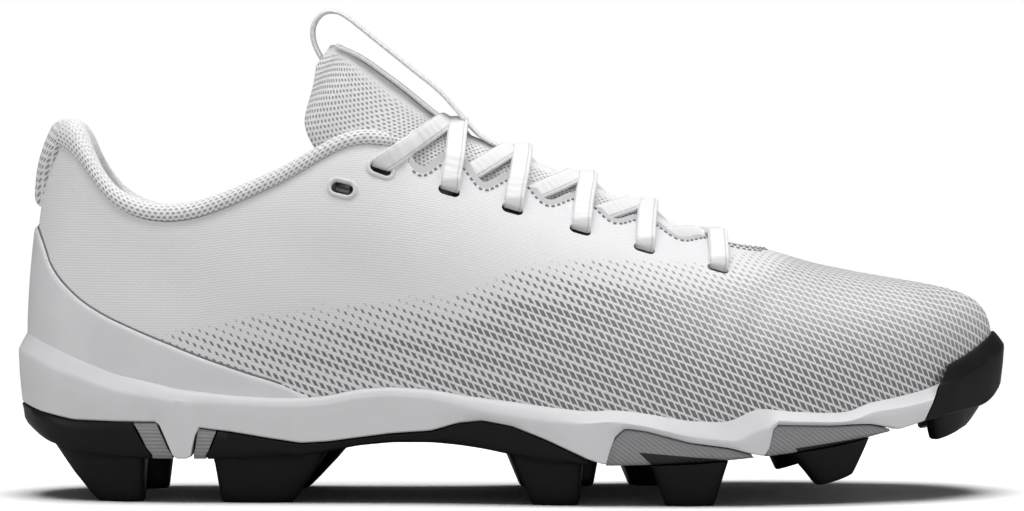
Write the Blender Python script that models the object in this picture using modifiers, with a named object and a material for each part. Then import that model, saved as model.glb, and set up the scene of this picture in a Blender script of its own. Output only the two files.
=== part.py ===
"""Football cleat for the right foot, standing empty on its studs.

Metres, +Z up, floor at z = 0, toe toward +X, outer side of the foot toward -Y.
The tables are drawn in millimetres at the sample size and graded to the driving dimensions.
"""
import math
from collections import namedtuple

import bmesh
import bpy
from mathutils import Vector

# Driving dimensions
LENGTH = 0.299
BALL_WIDTH = 0.090
RIM_HEIGHT = 0.108

# Sample size that the tables are drawn at, in millimetres
DRAWN_LENGTH = 299.0
DRAWN_WIDTH = 90.0
DRAWN_HEIGHT = 108.0
ALONG = LENGTH / DRAWN_LENGTH
ACROSS = BALL_WIDTH / DRAWN_WIDTH
HIGH = RIM_HEIGHT / DRAWN_HEIGHT

# Thicknesses and gaps
WALL = 0.0022
GAP = 0.0004
COUNTER_THICKNESS = 0.0009
INSOLE_THICKNESS = 0.004
TONGUE_THICKNESS = 0.0042
RIBBON_WIDTH = 0.013
RIBBON_THICKNESS = 0.0018
LACE_WIDTH = 0.0062
LACE_THICKNESS = 0.0016
LACE_LIFT = 0.0006
LACE_RISE = 0.0011
BAR_LIFT = 0.0019
SLOT_LENGTH = 0.0065
SLOT_WIDTH = 0.0022
CUP_BASE = 0.0039
CUP_LIP = 0.0013
CUP_BEVEL = 0.0046
FOOTBED = 0.0022
LEDGE = 0.0012

# Sections of the last, heel to toe: foot outline either side, its height, the rim and the wall's angles
Section = namedtuple("Section", "name along lateral medial foot rim_along rim_half rim flare lean full")
SECTIONS = [
    Section("heel_back", -145.5, 0.0, 0.0, 26.0, -140.5, 0.0, 108.0, 5, 8, 0.36),
    Section("heel_corner", -137.0, 19.5, 19.5, 26.0, -132.0, 17.0, 100.5, 5, 8, 0.36),
    Section("heel_side", -118.0, 29.5, 29.0, 25.5, -117.5, 26.5, 87.3, 5, 8, 0.36),
    Section("collar_low", -98.0, 32.5, 31.0, 25.5, -98.0, 30.0, 84.0, 5, 10, 0.36),
    Section("quarter", -72.0, 34.0, 30.5, 26.5, -72.0, 30.3, 93.8, 5, 18, 0.36),
    Section("quarter_front", -50.0, 35.0, 30.0, 27.5, -49.0, 27.8, 106.0, 5, 26, 0.36),
    Section("eyestay_top", -32.0, 36.5, 30.0, 27.5, -31.5, 22.5, 105.0, 5, 40, 0.37),
    Section("eyestay_high", -10.0, 39.5, 31.5, 25.5, -9.0, 17.0, 101.3, 5, 53, 0.38),
    Section("eyestay_mid", 18.0, 44.0, 36.5, 22.0, 18.0, 11.0, 93.9, 5, 67, 0.40),
    Section("eyestay_low", 45.0, 46.0, 42.0, 20.5, 45.0, 5.0, 84.2, 6, 80, 0.41),
    Section("throat_corner", 64.0, 45.4, 44.6, 21.0, 64.0, 0.0, 77.6, 7, 90, 0.42),
    Section("throat_point", 80.0, 43.0, 45.0, 22.6, 77.0, 0.0, 74.2, 7, 90, 0.43),
    Section("vamp", 98.0, 38.0, 43.5, 26.0, 90.0, 0.0, 70.3, 7, 90, 0.46),
    Section("toe_side", 116.0, 30.0, 39.5, 30.0, 102.0, 0.0, 67.7, 7, 90, 0.50),
    Section("toe_corner", 130.5, 19.3, 33.0, 33.2, 109.0, 0.0, 66.4, 7, 90, 0.55),
    Section("toe_tip", 144.9, -7.0, 7.0, 35.6, 115.0, 0.0, 65.4, 7, 90, 0.60),
]
THROAT_TOP = 6
RIDGE_START = 10
TOE_TIP = 15
TOE_SWING = 6.5 * ACROSS
SWING_START = -60.0 * ALONG
SWING_END = 115.0 * ALONG

# Throat opening: half width from the top eyelets down to its round end
ThroatRow = namedtuple("ThroatRow", "along half")
THROAT = [
    ThroatRow(-31.5, 22.5),
    ThroatRow(-9.0, 20.0),
    ThroatRow(18.0, 17.5),
    ThroatRow(45.0, 14.5),
    ThroatRow(60.0, 11.5),
]
THROAT_END = 77.0

# Sections of the sole: top of the white cup, seam between cup and rubber, underside
Sole = namedtuple("Sole", "along cup seam base")
SOLE = [
    Sole(-145.5, 47.5, 28.5, 22.0),
    Sole(-139.0, 45.2, 26.4, 17.6),
    Sole(-130.0, 41.6, 24.6, 14.6),
    Sole(-118.0, 37.3, 24.4, 13.4),
    Sole(-105.3, 35.0, 24.4, 13.2),
    Sole(-100.6, 34.3, 13.4, 13.2),
    Sole(-95.6, 33.6, 13.4, 13.2),
    Sole(-94.0, 33.4, 22.8, 13.2),
    Sole(-84.0, 32.2, 21.6, 13.3),
    Sole(-73.0, 31.6, 19.8, 13.6),
    Sole(-63.0, 31.5, 18.3, 14.2),
    Sole(-55.0, 32.2, 18.8, 15.6),
    Sole(-46.0, 34.2, 20.0, 17.4),
    Sole(-36.0, 34.9, 21.3, 18.4),
    Sole(-24.0, 34.2, 22.2, 18.5),
    Sole(-16.0, 32.8, 24.6, 17.8),
    Sole(-9.0, 31.8, 25.4, 16.8),
    Sole(0.0, 30.8, 23.8, 15.0),
    Sole(10.0, 29.4, 19.8, 13.0),
    Sole(22.0, 28.1, 14.2, 12.2),
    Sole(27.6, 28.5, 12.3, 12.1),
    Sole(29.2, 28.6, 20.0, 12.1),
    Sole(32.6, 28.4, 23.4, 12.2),
    Sole(38.9, 27.6, 22.6, 12.4),
    Sole(51.6, 25.4, 19.2, 12.9),
    Sole(63.0, 25.0, 17.6, 13.7),
    Sole(71.0, 29.0, 15.4, 14.5),
    Sole(74.0, 28.9, 15.0, 14.8),
    Sole(76.0, 28.6, 24.4, 15.0),
    Sole(81.0, 28.0, 24.2, 15.6),
    Sole(93.0, 27.3, 23.8, 17.4),
    Sole(99.0, 27.6, 24.0, 18.5),
    Sole(104.5, 30.1, 24.0, 19.8),
    Sole(111.0, 31.1, 22.6, 21.4),
    Sole(112.6, 31.4, 22.0, 21.8),
    Sole(121.0, 33.2, 24.4, 24.2),
    Sole(129.0, 36.0, 26.4, 26.2),
    Sole(138.0, 36.6, 27.6, 27.4),
    Sole(143.0, 37.0, 29.0, 28.8),
    Sole(144.9, 37.0, 30.6, 30.4),
]

# Rubber set under the cup: where each piece starts and ends along its top and along its underside
Rubber = namedtuple("Rubber", "name colour top_from top_to base_from base_to")
RUBBER = [
    Rubber("outsole_heel", "black", -145.5, -112.8, -145.5, -107.8),
    Rubber("pod_heel_rear", "grey", -112.2, -105.8, -107.2, -101.4),
    Rubber("pod_heel_front", "grey", -93.4, -88.2, -94.9, -91.4),
    Rubber("outsole_shank", "black", -87.6, 20.0, -90.8, 22.0),
    Rubber("pod_ball", "grey", 29.6, 69.5, 28.4, 70.4),
    Rubber("pod_front", "grey", 76.4, 110.0, 75.2, 110.6),
]

# Studs: run along the edge at the root, rake of rear and front faces, reach across, underside and its rise
Stud = namedtuple("Stud", "name side start end rear front reach foot rise joins")
STUDS = [
    Stud("heel_rear_lateral", -1, -141.0, -110.2, 15.0, 1.5, 16.0, 0.0, 0.0, "outsole_heel"),
    Stud("heel_rear_medial", 1, -141.0, -110.2, 15.0, 1.5, 16.0, 0.0, 0.0, "outsole_heel"),
    Stud("heel_front_lateral", -1, -89.8, -54.0, 2.5, 12.0, 14.0, 0.0, 0.0, "outsole_shank"),
    Stud("heel_front_medial", 1, -88.0, -51.0, 2.5, 12.0, 14.0, 0.0, 0.0, "outsole_shank"),
    Stud("ball_rear_lateral", -1, -2.5, 20.0, 7.0, 1.5, 15.0, 0.0, 0.0, "outsole_shank"),
    Stud("ball_rear_medial", 1, -6.0, 19.0, 7.0, 1.5, 15.0, 0.0, 0.0, "outsole_shank"),
    Stud("stud_ball_lateral", -1, 40.0, 63.4, 4.5, 4.0, 16.0, 0.0, 0.0, ""),
    Stud("stud_ball_medial", 1, 30.0, 53.4, 4.5, 4.0, 16.0, 0.0, 0.0, ""),
    Stud("stud_front_lateral", -1, 82.5, 106.0, 9.0, 4.0, 15.0, 5.6, 3.0, ""),
    Stud("stud_front_medial", 1, 76.6, 98.0, 5.0, 4.0, 15.0, 4.4, 3.4, ""),
    Stud("toe_lateral", -1, 125.5, 140.5, 3.5, 6.0, 8.0, 17.8, 1.5, "toe_bumper"),
    Stud("toe_medial", 1, 125.5, 140.5, 3.5, 6.0, 8.0, 17.8, 1.5, "toe_bumper"),
]
STUD_DRAFT = 0.0036
STUD_ROOT = 0.0022

# Lace slots down each side of the throat
Slot = namedtuple("Slot", "name along height")
SLOTS = [
    Slot("spare", -50.7, 93.6),
    Slot("slot_1", -39.2, 99.3),
    Slot("slot_2", -19.0, 92.9),
    Slot("slot_3", 0.3, 87.4),
    Slot("slot_4", 20.3, 81.2),
    Slot("slot_5", 39.1, 75.6),
    Slot("slot_6", 60.4, 69.7),
]
SLOT_TILT = math.radians(-16)
NOTCHES = [-27.3, -7.9, 11.6, 30.8, 50.2]
NOTCH_HALF = 6.2
NOTCH_DEPTH = 0.0062

# Tongue, toe end to top: crown line, half width and how far the edges fall behind the crown
TongueRow = namedtuple("TongueRow", "name along height half fall")
TONGUE = [
    TongueRow("toe_end", 86.0, 66.4, 8.0, 3.0),
    TongueRow("vamp", 74.0, 69.8, 12.0, 5.0),
    TongueRow("low", 60.0, 76.4, 17.0, 10.5),
    TongueRow("ball", 38.0, 87.0, 22.0, 15.5),
    TongueRow("middle", 18.0, 96.0, 25.0, 19.5),
    TongueRow("high", -4.0, 105.2, 24.5, 21.5),
    TongueRow("instep", -20.0, 112.4, 22.0, 24.0),
    TongueRow("rise", -35.0, 124.0, 19.0, 27.0),
    TongueRow("top", -48.0, 133.4, 18.5, 21.0),
    TongueRow("edge", -54.5, 137.6, 12.0, 8.0),
]

# Ribbon pull loop, side view of its middle line
LoopRow = namedtuple("LoopRow", "along height")
PULL_LOOP = [
    LoopRow(-60.0, 131.6),
    LoopRow(-60.9, 138.0),
    LoopRow(-60.2, 143.0),
    LoopRow(-57.8, 145.7),
    LoopRow(-54.4, 146.2),
    LoopRow(-50.2, 144.3),
    LoopRow(-40.6, 136.7),
    LoopRow(-31.0, 129.0),
    LoopRow(-22.4, 122.0),
    LoopRow(-14.6, 115.2),
    LoopRow(-11.6, 111.8),
    LoopRow(-9.4, 109.7),
]

# Smooth counter: its top line, back of the heel to where it meets the cup
CounterRow = namedtuple("CounterRow", "along height")
COUNTER = [
    CounterRow(-145.5, 82.0),
    CounterRow(-143.0, 78.5),
    CounterRow(-137.0, 67.5),
    CounterRow(-128.6, 60.4),
    CounterRow(-121.0, 56.0),
    CounterRow(-111.6, 51.8),
    CounterRow(-102.4, 47.9),
    CounterRow(-90.0, 43.4),
    CounterRow(-78.5, 39.5),
    CounterRow(-69.0, 36.4),
]
HEEL_V_DEPTH = 0.021
HEEL_V_END = 0.62
COLLAR_FRONT = 5.6

# Toe bumper: top line seen from the side, and the slanted plane that parts it from the cup
BUMPER_START = 113.0
BUMPER_BACK = 43.5
BUMPER_TIP = 49.2
PARTING_ALONG = 121.0
PARTING_HEIGHT = 28.0

UP = Vector((0.0, 0.0, 1.0))
LATERAL = -1
MEDIAL = 1
SIDES = (LATERAL, MEDIAL)

COLOURS = {
    "white_textile": (0.82, 0.82, 0.82, 1.0),
    "mesh": (0.70, 0.71, 0.72, 1.0),
    "white_rubber": (0.86, 0.86, 0.86, 1.0),
    "grey": (0.42, 0.43, 0.44, 1.0),
    "black": (0.02, 0.02, 0.022, 1.0),
    "lace": (0.84, 0.84, 0.84, 1.0),
}


def clear_scene():
    for leftover in list(bpy.data.objects):
        bpy.data.objects.remove(leftover, do_unlink=True)


def material(name):
    found = bpy.data.materials.get(name)
    if found:
        return found
    made = bpy.data.materials.new(name)
    made.use_nodes = True
    made.node_tree.nodes["Principled BSDF"].inputs["Base Color"].default_value = COLOURS[name]
    return made


def collection(name):
    made = bpy.data.collections.new(name)
    bpy.context.scene.collection.children.link(made)
    return made


def column(field, scale, other=None):
    """Values of one column with a mirrored row at each end, so the outline closes smoothly."""
    rows = [getattr(row, field) * scale for row in SECTIONS]
    if other is None:
        return [rows[1]] + rows + [rows[-2]]
    mirror = [getattr(row, other) * scale for row in SECTIONS]
    return [-mirror[1]] + rows + [-mirror[-2]]


COLUMNS = {
    "along": column("along", ALONG),
    LATERAL: column("lateral", ACROSS, "medial"),
    MEDIAL: column("medial", ACROSS, "lateral"),
    "foot": column("foot", HIGH),
    "rim_along": column("rim_along", ALONG),
    "rim_half": column("rim_half", ACROSS, "rim_half"),
    "rim": column("rim", HIGH),
    "flare": column("flare", math.pi / 180),
    "lean": column("lean", math.pi / 180),
    "full": column("full", 1.0),
}


def spline(values, t):
    """Smooth value at row t of a column that carries one extra row at each end."""
    row = max(0, min(int(math.floor(t)), len(values) - 4))
    f = t - row
    before, start, end, after = values[row:row + 4]
    turn = 2 * before - 5 * start + 4 * end - after
    twist = -before + 3 * start - 3 * end + after
    return start + 0.5 * f * ((end - before) + f * (turn + f * twist))


def at(name, t):
    return spline(COLUMNS[name], t)


def graph(rows, field, x, scale):
    """Straight-line reading of a side-view table at the graded length x."""
    xs = [row.along * ALONG for row in rows]
    ys = [getattr(row, field) * scale for row in rows]
    if x <= xs[0]:
        return ys[0]
    for i in range(len(xs) - 1):
        if x <= xs[i + 1]:
            f = (x - xs[i]) / (xs[i + 1] - xs[i])
            return ys[i] + f * (ys[i + 1] - ys[i])
    return ys[-1]


def solve(function, target, low, high):
    """Argument between low and high where a rising function meets the target."""
    for _ in range(40):
        middle = 0.5 * (low + high)
        if function(middle) < target:
            low = middle
        else:
            high = middle
    return 0.5 * (low + high)


def station(x, name="along"):
    """Row number of the section whose foot, or rim, stands at the graded length x."""
    if x <= COLUMNS[name][1]:
        return 0.0
    if x >= COLUMNS[name][-2]:
        return float(TOE_TIP)
    return solve(lambda t: at(name, t), x, 0.0, float(TOE_TIP))


def centre(x):
    f = max(0.0, min(1.0, (x - SWING_START) / (SWING_END - SWING_START)))
    return TOE_SWING * f * f * (3 - 2 * f)


def foot_point(side, t):
    return Vector((at("along", t), side * at(side, t), at("foot", t)))


def rim_point(side, t):
    """Top of the section: the collar's rim, or a point toward the ridge that the throat cuts short."""
    x = at("rim_along", t)
    half = at("rim_half", t) if t < RIDGE_START else 0.0
    return Vector((x, centre(x) + side * half, at("rim", t)))


def throat_half(x):
    last = THROAT[-1].along * ALONG
    end = THROAT_END * ALONG
    if x >= end:
        return 0.0
    half = graph(THROAT, "half", min(x, last), ACROSS)
    if x > last:
        half *= math.sqrt(1.0 - ((x - last) / (end - last)) ** 2)
    return half


def outward(side, t):
    if t <= 0.0 or t >= TOE_TIP:
        return Vector((1.0 if t > 0.0 else -1.0, 0.0, 0.0))
    step = 0.02
    run = foot_point(side, t + step) - foot_point(side, t - step)
    return Vector((-side * run.y, side * run.x, 0.0)).normalized()


def ridge_slope(t):
    step = 0.3
    low = max(float(RIDGE_START), min(t, TOE_TIP - 1.0) - step)
    return (at("rim", low + 2 * step) - at("rim", low)) / (at("rim_along", low + 2 * step) - at("rim_along", low))


def upper_point(side, t, v):
    """Outer face of the upper: v runs from the foot outline to the rim or the vamp ridge."""
    out = outward(side, t)
    foot = foot_point(side, t)
    rim = rim_point(side, t)
    reach = at("full", t) * (rim - foot).length
    flare = at("flare", t)
    lean = min(at("lean", t), math.pi / 2)
    climb = UP * math.cos(lean) - out * math.sin(lean)
    climb.z -= max(0.0, min(1.0, t - THROAT_TOP - 3)) * math.sin(lean) * ridge_slope(t) * out.x
    low = foot + reach * (out * math.sin(flare) + UP * math.cos(flare))
    high = rim - reach * climb
    w = 1.0 - v
    return w ** 3 * foot + 3 * w * w * v * low + 3 * w * v * v * high + v ** 3 * rim


def upper_normal(side, t, v):
    v = min(v, 0.97)
    step = 0.02
    round_run = upper_point(side, t + step, v) - upper_point(side, t - step, v)
    rise = upper_point(side, t, v + step) - upper_point(side, t, v - step)
    return (side * rise.cross(round_run)).normalized()


def height_on_upper(side, t, z):
    return solve(lambda v: upper_point(side, t, v).z, z, 0.0, 1.0)


def shell_point(side, t, z, out):
    """Point at height z on the upper, or straight below its foot, moved outward level."""
    foot = foot_point(side, t)
    face = foot if z <= foot.z else upper_point(side, t, height_on_upper(side, t, z))
    place = face + outward(side, t) * out
    place.z = z
    return place


def heel_v(t):
    return HEEL_V_DEPTH * max(0.0, 1.0 - t / HEEL_V_END)


def notch(x):
    deep = 0.0
    for centre_mm in NOTCHES:
        off = abs(x / ALONG - centre_mm) / NOTCH_HALF
        if off < 1.0:
            deep = max(deep, NOTCH_DEPTH * math.sqrt(1.0 - off * off))
    return deep


def edge_share(side, t):
    """Share of the section below the throat's plain edge."""
    x = at("rim_along", t)
    if t <= THROAT_TOP or x >= THROAT_END * ALONG:
        return 1.0
    half = throat_half(x)
    return solve(lambda v: half - abs(upper_point(side, t, v).y - centre(x)), 0.0, 0.3, 1.0)


def rim_share(side, t):
    """Share of the section that the upper keeps below the heel V and the throat's scallops."""
    drop = heel_v(t) + notch(at("rim_along", t))
    speed = 3.0 * at("full", t) * (rim_point(side, t) - foot_point(side, t)).length
    return edge_share(side, t) - drop / speed


def upper_stations():
    back = [0.0, 0.2, 0.4, HEEL_V_END, 1.0, 1.33, 1.67, 2.0, 2.5, 3.0, 3.5, 4.0, 4.5, 5.0, 5.35, COLLAR_FRONT]
    lengths = []
    for centre_mm in NOTCHES:
        lengths += [centre_mm + share * NOTCH_HALF for share in (-1.0, -0.85, -0.5, 0.0, 0.5, 0.85, 1.0)]
    lengths += [61.0, 66.0, 70.5, 74.0, 76.2, THROAT_END]
    throat = [station(length * ALONG, "rim_along") for length in lengths]
    front = [11.5, 12.0, 12.5, 13.0, 13.4, 13.8, 14.2, 14.6, 15.0]
    return back + throat + front


UPPER_STATIONS = upper_stations()
UPPER_SHARES = [0.0, 0.14, 0.28, 0.42, 0.56, 0.70, 0.85, 1.0]


def add_object(name, mesh, slot, group):
    made = bpy.data.objects.new(name, mesh)
    mesh.materials.append(material(slot))
    group.objects.link(made)
    return made


def finish_mesh(shape, name, weld=1e-6):
    bmesh.ops.remove_doubles(shape, verts=shape.verts, dist=weld)
    bmesh.ops.dissolve_degenerate(shape, edges=shape.edges, dist=weld)
    mesh = bpy.data.meshes.new(name)
    shape.to_mesh(mesh)
    shape.free()
    return mesh


def skin(shape, rings, closed):
    """Faces between rings of points; closed rings wrap round."""
    grid = [[shape.verts.new(point) for point in ring] for ring in rings]
    count = len(rings[0])
    last = count if closed else count - 1
    for near, far in zip(grid, grid[1:]):
        for i in range(last):
            j = (i + 1) % count
            shape.faces.new((near[i], near[j], far[j], far[i]))
    return grid


def loft(name, rings, slot, group, cap_start=True, cap_end=True):
    """Solid through closed rings; an end that shrinks to a line needs no cap."""
    shape = bmesh.new()
    grid = skin(shape, rings, True)
    if cap_start:
        shape.faces.new(list(reversed(grid[0])))
    if cap_end:
        shape.faces.new(grid[-1])
    bmesh.ops.remove_doubles(shape, verts=shape.verts, dist=1e-6)
    bmesh.ops.recalc_face_normals(shape, faces=shape.faces)
    return add_object(name, finish_mesh(shape, name), slot, group)


def build_upper(group, cutters):
    shape = bmesh.new()
    for side in SIDES:
        rings = []
        for t in UPPER_STATIONS:
            share = rim_share(side, t)
            rings.append([upper_point(side, t, v * share) for v in UPPER_SHARES])
        if side == LATERAL:
            rings = [list(reversed(ring)) for ring in rings]
        skin(shape, rings, False)
    mesh = finish_mesh(shape, "upper", 1e-5)
    made = add_object("upper", mesh, "white_textile", group)
    wall = made.modifiers.new("wall", "SOLIDIFY")
    wall.thickness = WALL
    wall.offset = -1.0
    wall.use_even_offset = False
    slots = build_slots(cutters)
    cut = made.modifiers.new("lace slots", "BOOLEAN")
    cut.operation = "DIFFERENCE"
    cut.solver = "EXACT"
    cut.object = slots
    return made


def slot_frame(side, slot):
    t = station(slot.along * ALONG, "rim_along")
    v = height_on_upper(side, t, slot.height * HIGH)
    place = upper_point(side, t, v)
    out = upper_normal(side, t, v)
    run = (Vector((1.0, 0.0, math.tan(SLOT_TILT))) - out * out.dot(Vector((1.0, 0.0, math.tan(SLOT_TILT)))))
    run.normalize()
    return place, out, run, t, v


def build_slots(cutters):
    """Boxes that cut the lace slots through the wall."""
    shape = bmesh.new()
    for side in SIDES:
        for slot in SLOTS:
            place, out, run, _, _ = slot_frame(side, slot)
            rise = out.cross(run)
            rings = []
            for depth in (-2.5 * WALL, 1.5 * WALL):
                ring = []
                for a, b in ((-1, -1), (1, -1), (1, 1), (-1, 1)):
                    corner = run * (a * SLOT_LENGTH / 2) + rise * (b * SLOT_WIDTH / 2)
                    ring.append(place + corner + out * depth)
                rings.append(ring)
            grid = skin(shape, rings, True)
            shape.faces.new(list(reversed(grid[0])))
            shape.faces.new(grid[1])
    bmesh.ops.recalc_face_normals(shape, faces=shape.faces)
    made = add_object("slot_cutter", finish_mesh(shape, "slot_cutter"), "black", cutters)
    made.hide_render = True
    made.display_type = "WIRE"
    return made


def near_rim(side, t, out, rise):
    """Point a given way out from the wall and up from the rim; below the rim it follows the wall."""
    speed = 3.0 * at("full", t) * (rim_point(side, t) - foot_point(side, t)).length
    v = 1.0 + min(0.0, rise) / speed
    face = upper_normal(side, t, v)
    place = upper_point(side, t, v) + face * out
    if rise > 0.0:
        climb = upper_point(side, t, 1.0) - upper_point(side, t, 0.96)
        climb = (climb - face * face.dot(climb)).normalized()
        place += climb * rise
    return place


def collar_ring(side, t):
    """Padded roll over the rim and its lining inside the wall."""
    slim = max(0.0, min(1.0, (t - 3.6) / 1.6))
    pad = 0.0072 - 0.0022 * slim
    drop = heel_v(t)
    swell = 0.0012 + 0.0012 * min(1.0, 2.0 * drop / HEEL_V_DEPTH)
    skirt = -0.024 - 0.6 * drop
    inside = -(WALL + GAP)
    profile = [
        (inside, skirt),
        (inside, GAP - drop),
        (0.4 * swell, GAP - drop),
        (swell, 0.0022 - 0.55 * drop),
        (0.0002, 0.0043),
        (-0.0022, 0.0053),
        (-0.72 * pad, 0.0042),
        (-pad, 0.0012),
        (-pad - 0.0002, -0.006),
        (-0.80 * pad, -0.014),
        (inside - 0.0011, skirt),
    ]
    return [near_rim(side, t, out, rise) for out, rise in profile]


def build_collar(group):
    stations = [t for t in UPPER_STATIONS if t <= COLLAR_FRONT]
    rings = [collar_ring(LATERAL, t) for t in reversed(stations)]
    rings += [collar_ring(MEDIAL, t) for t in stations[1:]]
    return loft("collar", rings, "mesh", group)


def cup_ring(x, cup, seam, footbed=True):
    """Section of the white cup from side to side: pocket for the upper, lip, bevel and side wall."""
    t = station(x)
    halves = []
    for side in SIDES:
        foot = foot_point(side, t).z
        top = max(cup, foot + 0.0012)
        bevel = max(top - CUP_BEVEL, seam + 0.4 * (top - seam))
        halves.append([
            shell_point(side, t, foot - GAP, GAP),
            shell_point(side, t, 0.5 * (foot + top), GAP),
            shell_point(side, t, top, GAP),
            shell_point(side, t, top - 0.0003, CUP_LIP),
            shell_point(side, t, bevel, CUP_BASE),
            shell_point(side, t, seam, CUP_BASE - 0.0004),
            shell_point(side, t, seam, LEDGE),
            shell_point(side, t, min(seam, foot - FOOTBED) - 0.0001, LEDGE - 0.0006),
        ])
    return halves[0] + list(reversed(halves[1]))


def sole_sections():
    """Lengths of the table's rows and, round the heel and toe, of the upper's own sections."""
    ends = [at("along", t) for t in UPPER_STATIONS if 0.0 < t < 2.2 or 13.2 < t < TOE_TIP]
    return sorted([row.along * ALONG for row in SOLE] + ends)


def sole_stations(start, end):
    xs = sole_sections()
    return [start] + [x for x in xs if start + 1e-5 < x < end - 1e-5] + [end]


def part_by_plane(made, keep_front):
    """Part a solid along the slanted plane behind the toe bumper."""
    slope = math.sqrt(0.5)
    shift = GAP / 2 if keep_front else -GAP / 2
    normal = Vector((slope, 0.0, -slope))
    place = Vector((PARTING_ALONG * ALONG, 0.0, PARTING_HEIGHT * HIGH)) + normal * shift
    shape = bmesh.new()
    shape.from_mesh(made.data)
    everything = list(shape.verts) + list(shape.edges) + list(shape.faces)
    bmesh.ops.bisect_plane(
        shape, geom=everything, plane_co=place, plane_no=normal,
        clear_inner=keep_front, clear_outer=not keep_front,
    )
    rims = [edge for edge in shape.edges if edge.is_boundary]
    bmesh.ops.edgenet_fill(shape, edges=rims)
    bmesh.ops.recalc_face_normals(shape, faces=shape.faces)
    shape.to_mesh(made.data)
    shape.free()


def build_midsole(group):
    start = SOLE[0].along * ALONG
    end = 136.0 * ALONG
    rings = []
    for x in sole_stations(start, end):
        rings.append(cup_ring(x, graph(SOLE, "cup", x, HIGH), graph(SOLE, "seam", x, HIGH)))
    made = loft("midsole", rings, "white_rubber", group, cap_start=False)
    part_by_plane(made, False)
    return made


def build_bumper(group):
    start = BUMPER_START * ALONG
    end = SOLE[-1].along * ALONG
    rings = []
    for x in sole_stations(start, end):
        f = (x - start) / (end - start)
        top = (BUMPER_BACK + (BUMPER_TIP - BUMPER_BACK) * f * f) * HIGH
        rings.append(cup_ring(x, top, graph(SOLE, "base", x, HIGH)))
    made = loft("toe_bumper", rings, "black", group, cap_end=False)
    part_by_plane(made, True)
    return made


def rubber_ring(piece, f):
    top_x = (piece.top_from + f * (piece.top_to - piece.top_from)) * ALONG
    base_x = (piece.base_from + f * (piece.base_to - piece.base_from)) * ALONG
    top = graph(SOLE, "seam", top_x, HIGH) - GAP
    base = graph(SOLE, "base", base_x, HIGH)
    top = max(top, base + 0.0008)
    halves = []
    inset = 0.0004 if piece.colour == "black" else 0.0009
    for side in SIDES:
        upper_t = station(top_x)
        lower_t = station(base_x)
        waist_t = station(0.45 * top_x + 0.55 * base_x)
        ceiling = min(top, at("foot", upper_t) - FOOTBED - GAP) - 0.0001
        ceiling = max(ceiling, base + 0.0006)
        halves.append([
            shell_point(side, upper_t, ceiling, LEDGE - 0.0006),
            shell_point(side, upper_t, ceiling, LEDGE + 0.5 * GAP),
            shell_point(side, upper_t, top, LEDGE + GAP),
            shell_point(side, upper_t, top, CUP_BASE - inset),
            shell_point(side, waist_t, base + 0.45 * (top - base), CUP_BASE - inset - 0.0003),
            shell_point(side, lower_t, base, CUP_BASE - inset - 0.0016),
        ])
    return halves[0] + list(reversed(halves[1]))


def rubber_shares(piece):
    span = piece.top_to - piece.top_from
    shares = [(x / ALONG - piece.top_from) / span for x in sole_sections()]
    shares = [f for f in shares if 0.004 < f < 0.985]
    return [0.0] + shares + [1.0]


def build_rubber(group):
    made = {}
    for piece in RUBBER:
        rings = [rubber_ring(piece, f) for f in rubber_shares(piece)]
        collapsed = piece.top_from == SOLE[0].along
        made[piece.name] = loft(piece.name, rings, piece.colour, group, cap_start=not collapsed)
    return made


def stud_rings(stud, root):
    """Tapered blade that follows the edge of the sole; root is how far it stands into the rubber."""
    steps = (0.0, 0.25, 0.5, 0.75, 1.0)
    rings = []
    for level in (0.0, 1.0):
        start = (stud.start + stud.rear * level) * ALONG
        end = (stud.end - stud.front * level) * ALONG
        outer = []
        inner = []
        for f in steps:
            x = start + f * (end - start)
            t = station(x)
            swell = math.sin(math.pi * (0.12 + 0.76 * f))
            edge = CUP_BASE - 0.0026 - STUD_DRAFT * level - 0.002 * (1.0 - swell)
            reach = (stud.reach * ACROSS) * (1.0 - 0.3 * level) * (0.45 + 0.55 * swell)
            for row, out in ((outer, edge), (inner, edge - reach)):
                place = foot_point(stud.side, t) + outward(stud.side, t) * out
                base = graph(SOLE, "base", place.x, HIGH) + root
                place.z = base + level * ((stud.foot + f * stud.rise) * HIGH - base)
                row.append(place)
        rings.append(outer + list(reversed(inner)))
    return rings


def build_studs(group, cutters, rubber):
    for stud in STUDS:
        if not stud.joins:
            loft(stud.name, stud_rings(stud, -GAP), "black", group)
            continue
        blade = loft(stud.name + "_blade", stud_rings(stud, STUD_ROOT), "black", cutters)
        blade.hide_render = True
        blade.display_type = "WIRE"
        join = rubber[stud.joins].modifiers.new(stud.name, "BOOLEAN")
        join.operation = "UNION"
        join.solver = "EXACT"
        join.object = blade


def build_counter(group):
    """Smooth overlay between the cup and the counter line, lifted from the upper's own face."""
    last = station(COUNTER[-1].along * ALONG)
    count = 13
    stations = [last * i / count for i in range(count + 1)]
    rings = []
    order = [(LATERAL, t) for t in reversed(stations)] + [(MEDIAL, t) for t in stations[1:]]
    for side, t in order:
        x = at("along", t)
        low = graph(SOLE, "cup", x, HIGH) + GAP
        high = max(graph(COUNTER, "height", x, HIGH), low + 0.003)
        v_low = height_on_upper(side, t, low)
        v_high = height_on_upper(side, t, high)
        shares = [v_low + (v_high - v_low) * i / 4 for i in range(5)]
        inner = [upper_point(side, t, v) + upper_normal(side, t, v) * GAP for v in shares]
        outer = []
        for i, v in enumerate(shares):
            lift = GAP + COUNTER_THICKNESS * (0.5 if i in (0, 4) else 1.0)
            outer.append(upper_point(side, t, v) + upper_normal(side, t, v) * lift)
        rings.append(inner + list(reversed(outer)))
    return loft("heel_counter", rings, "white_rubber", group)


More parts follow.
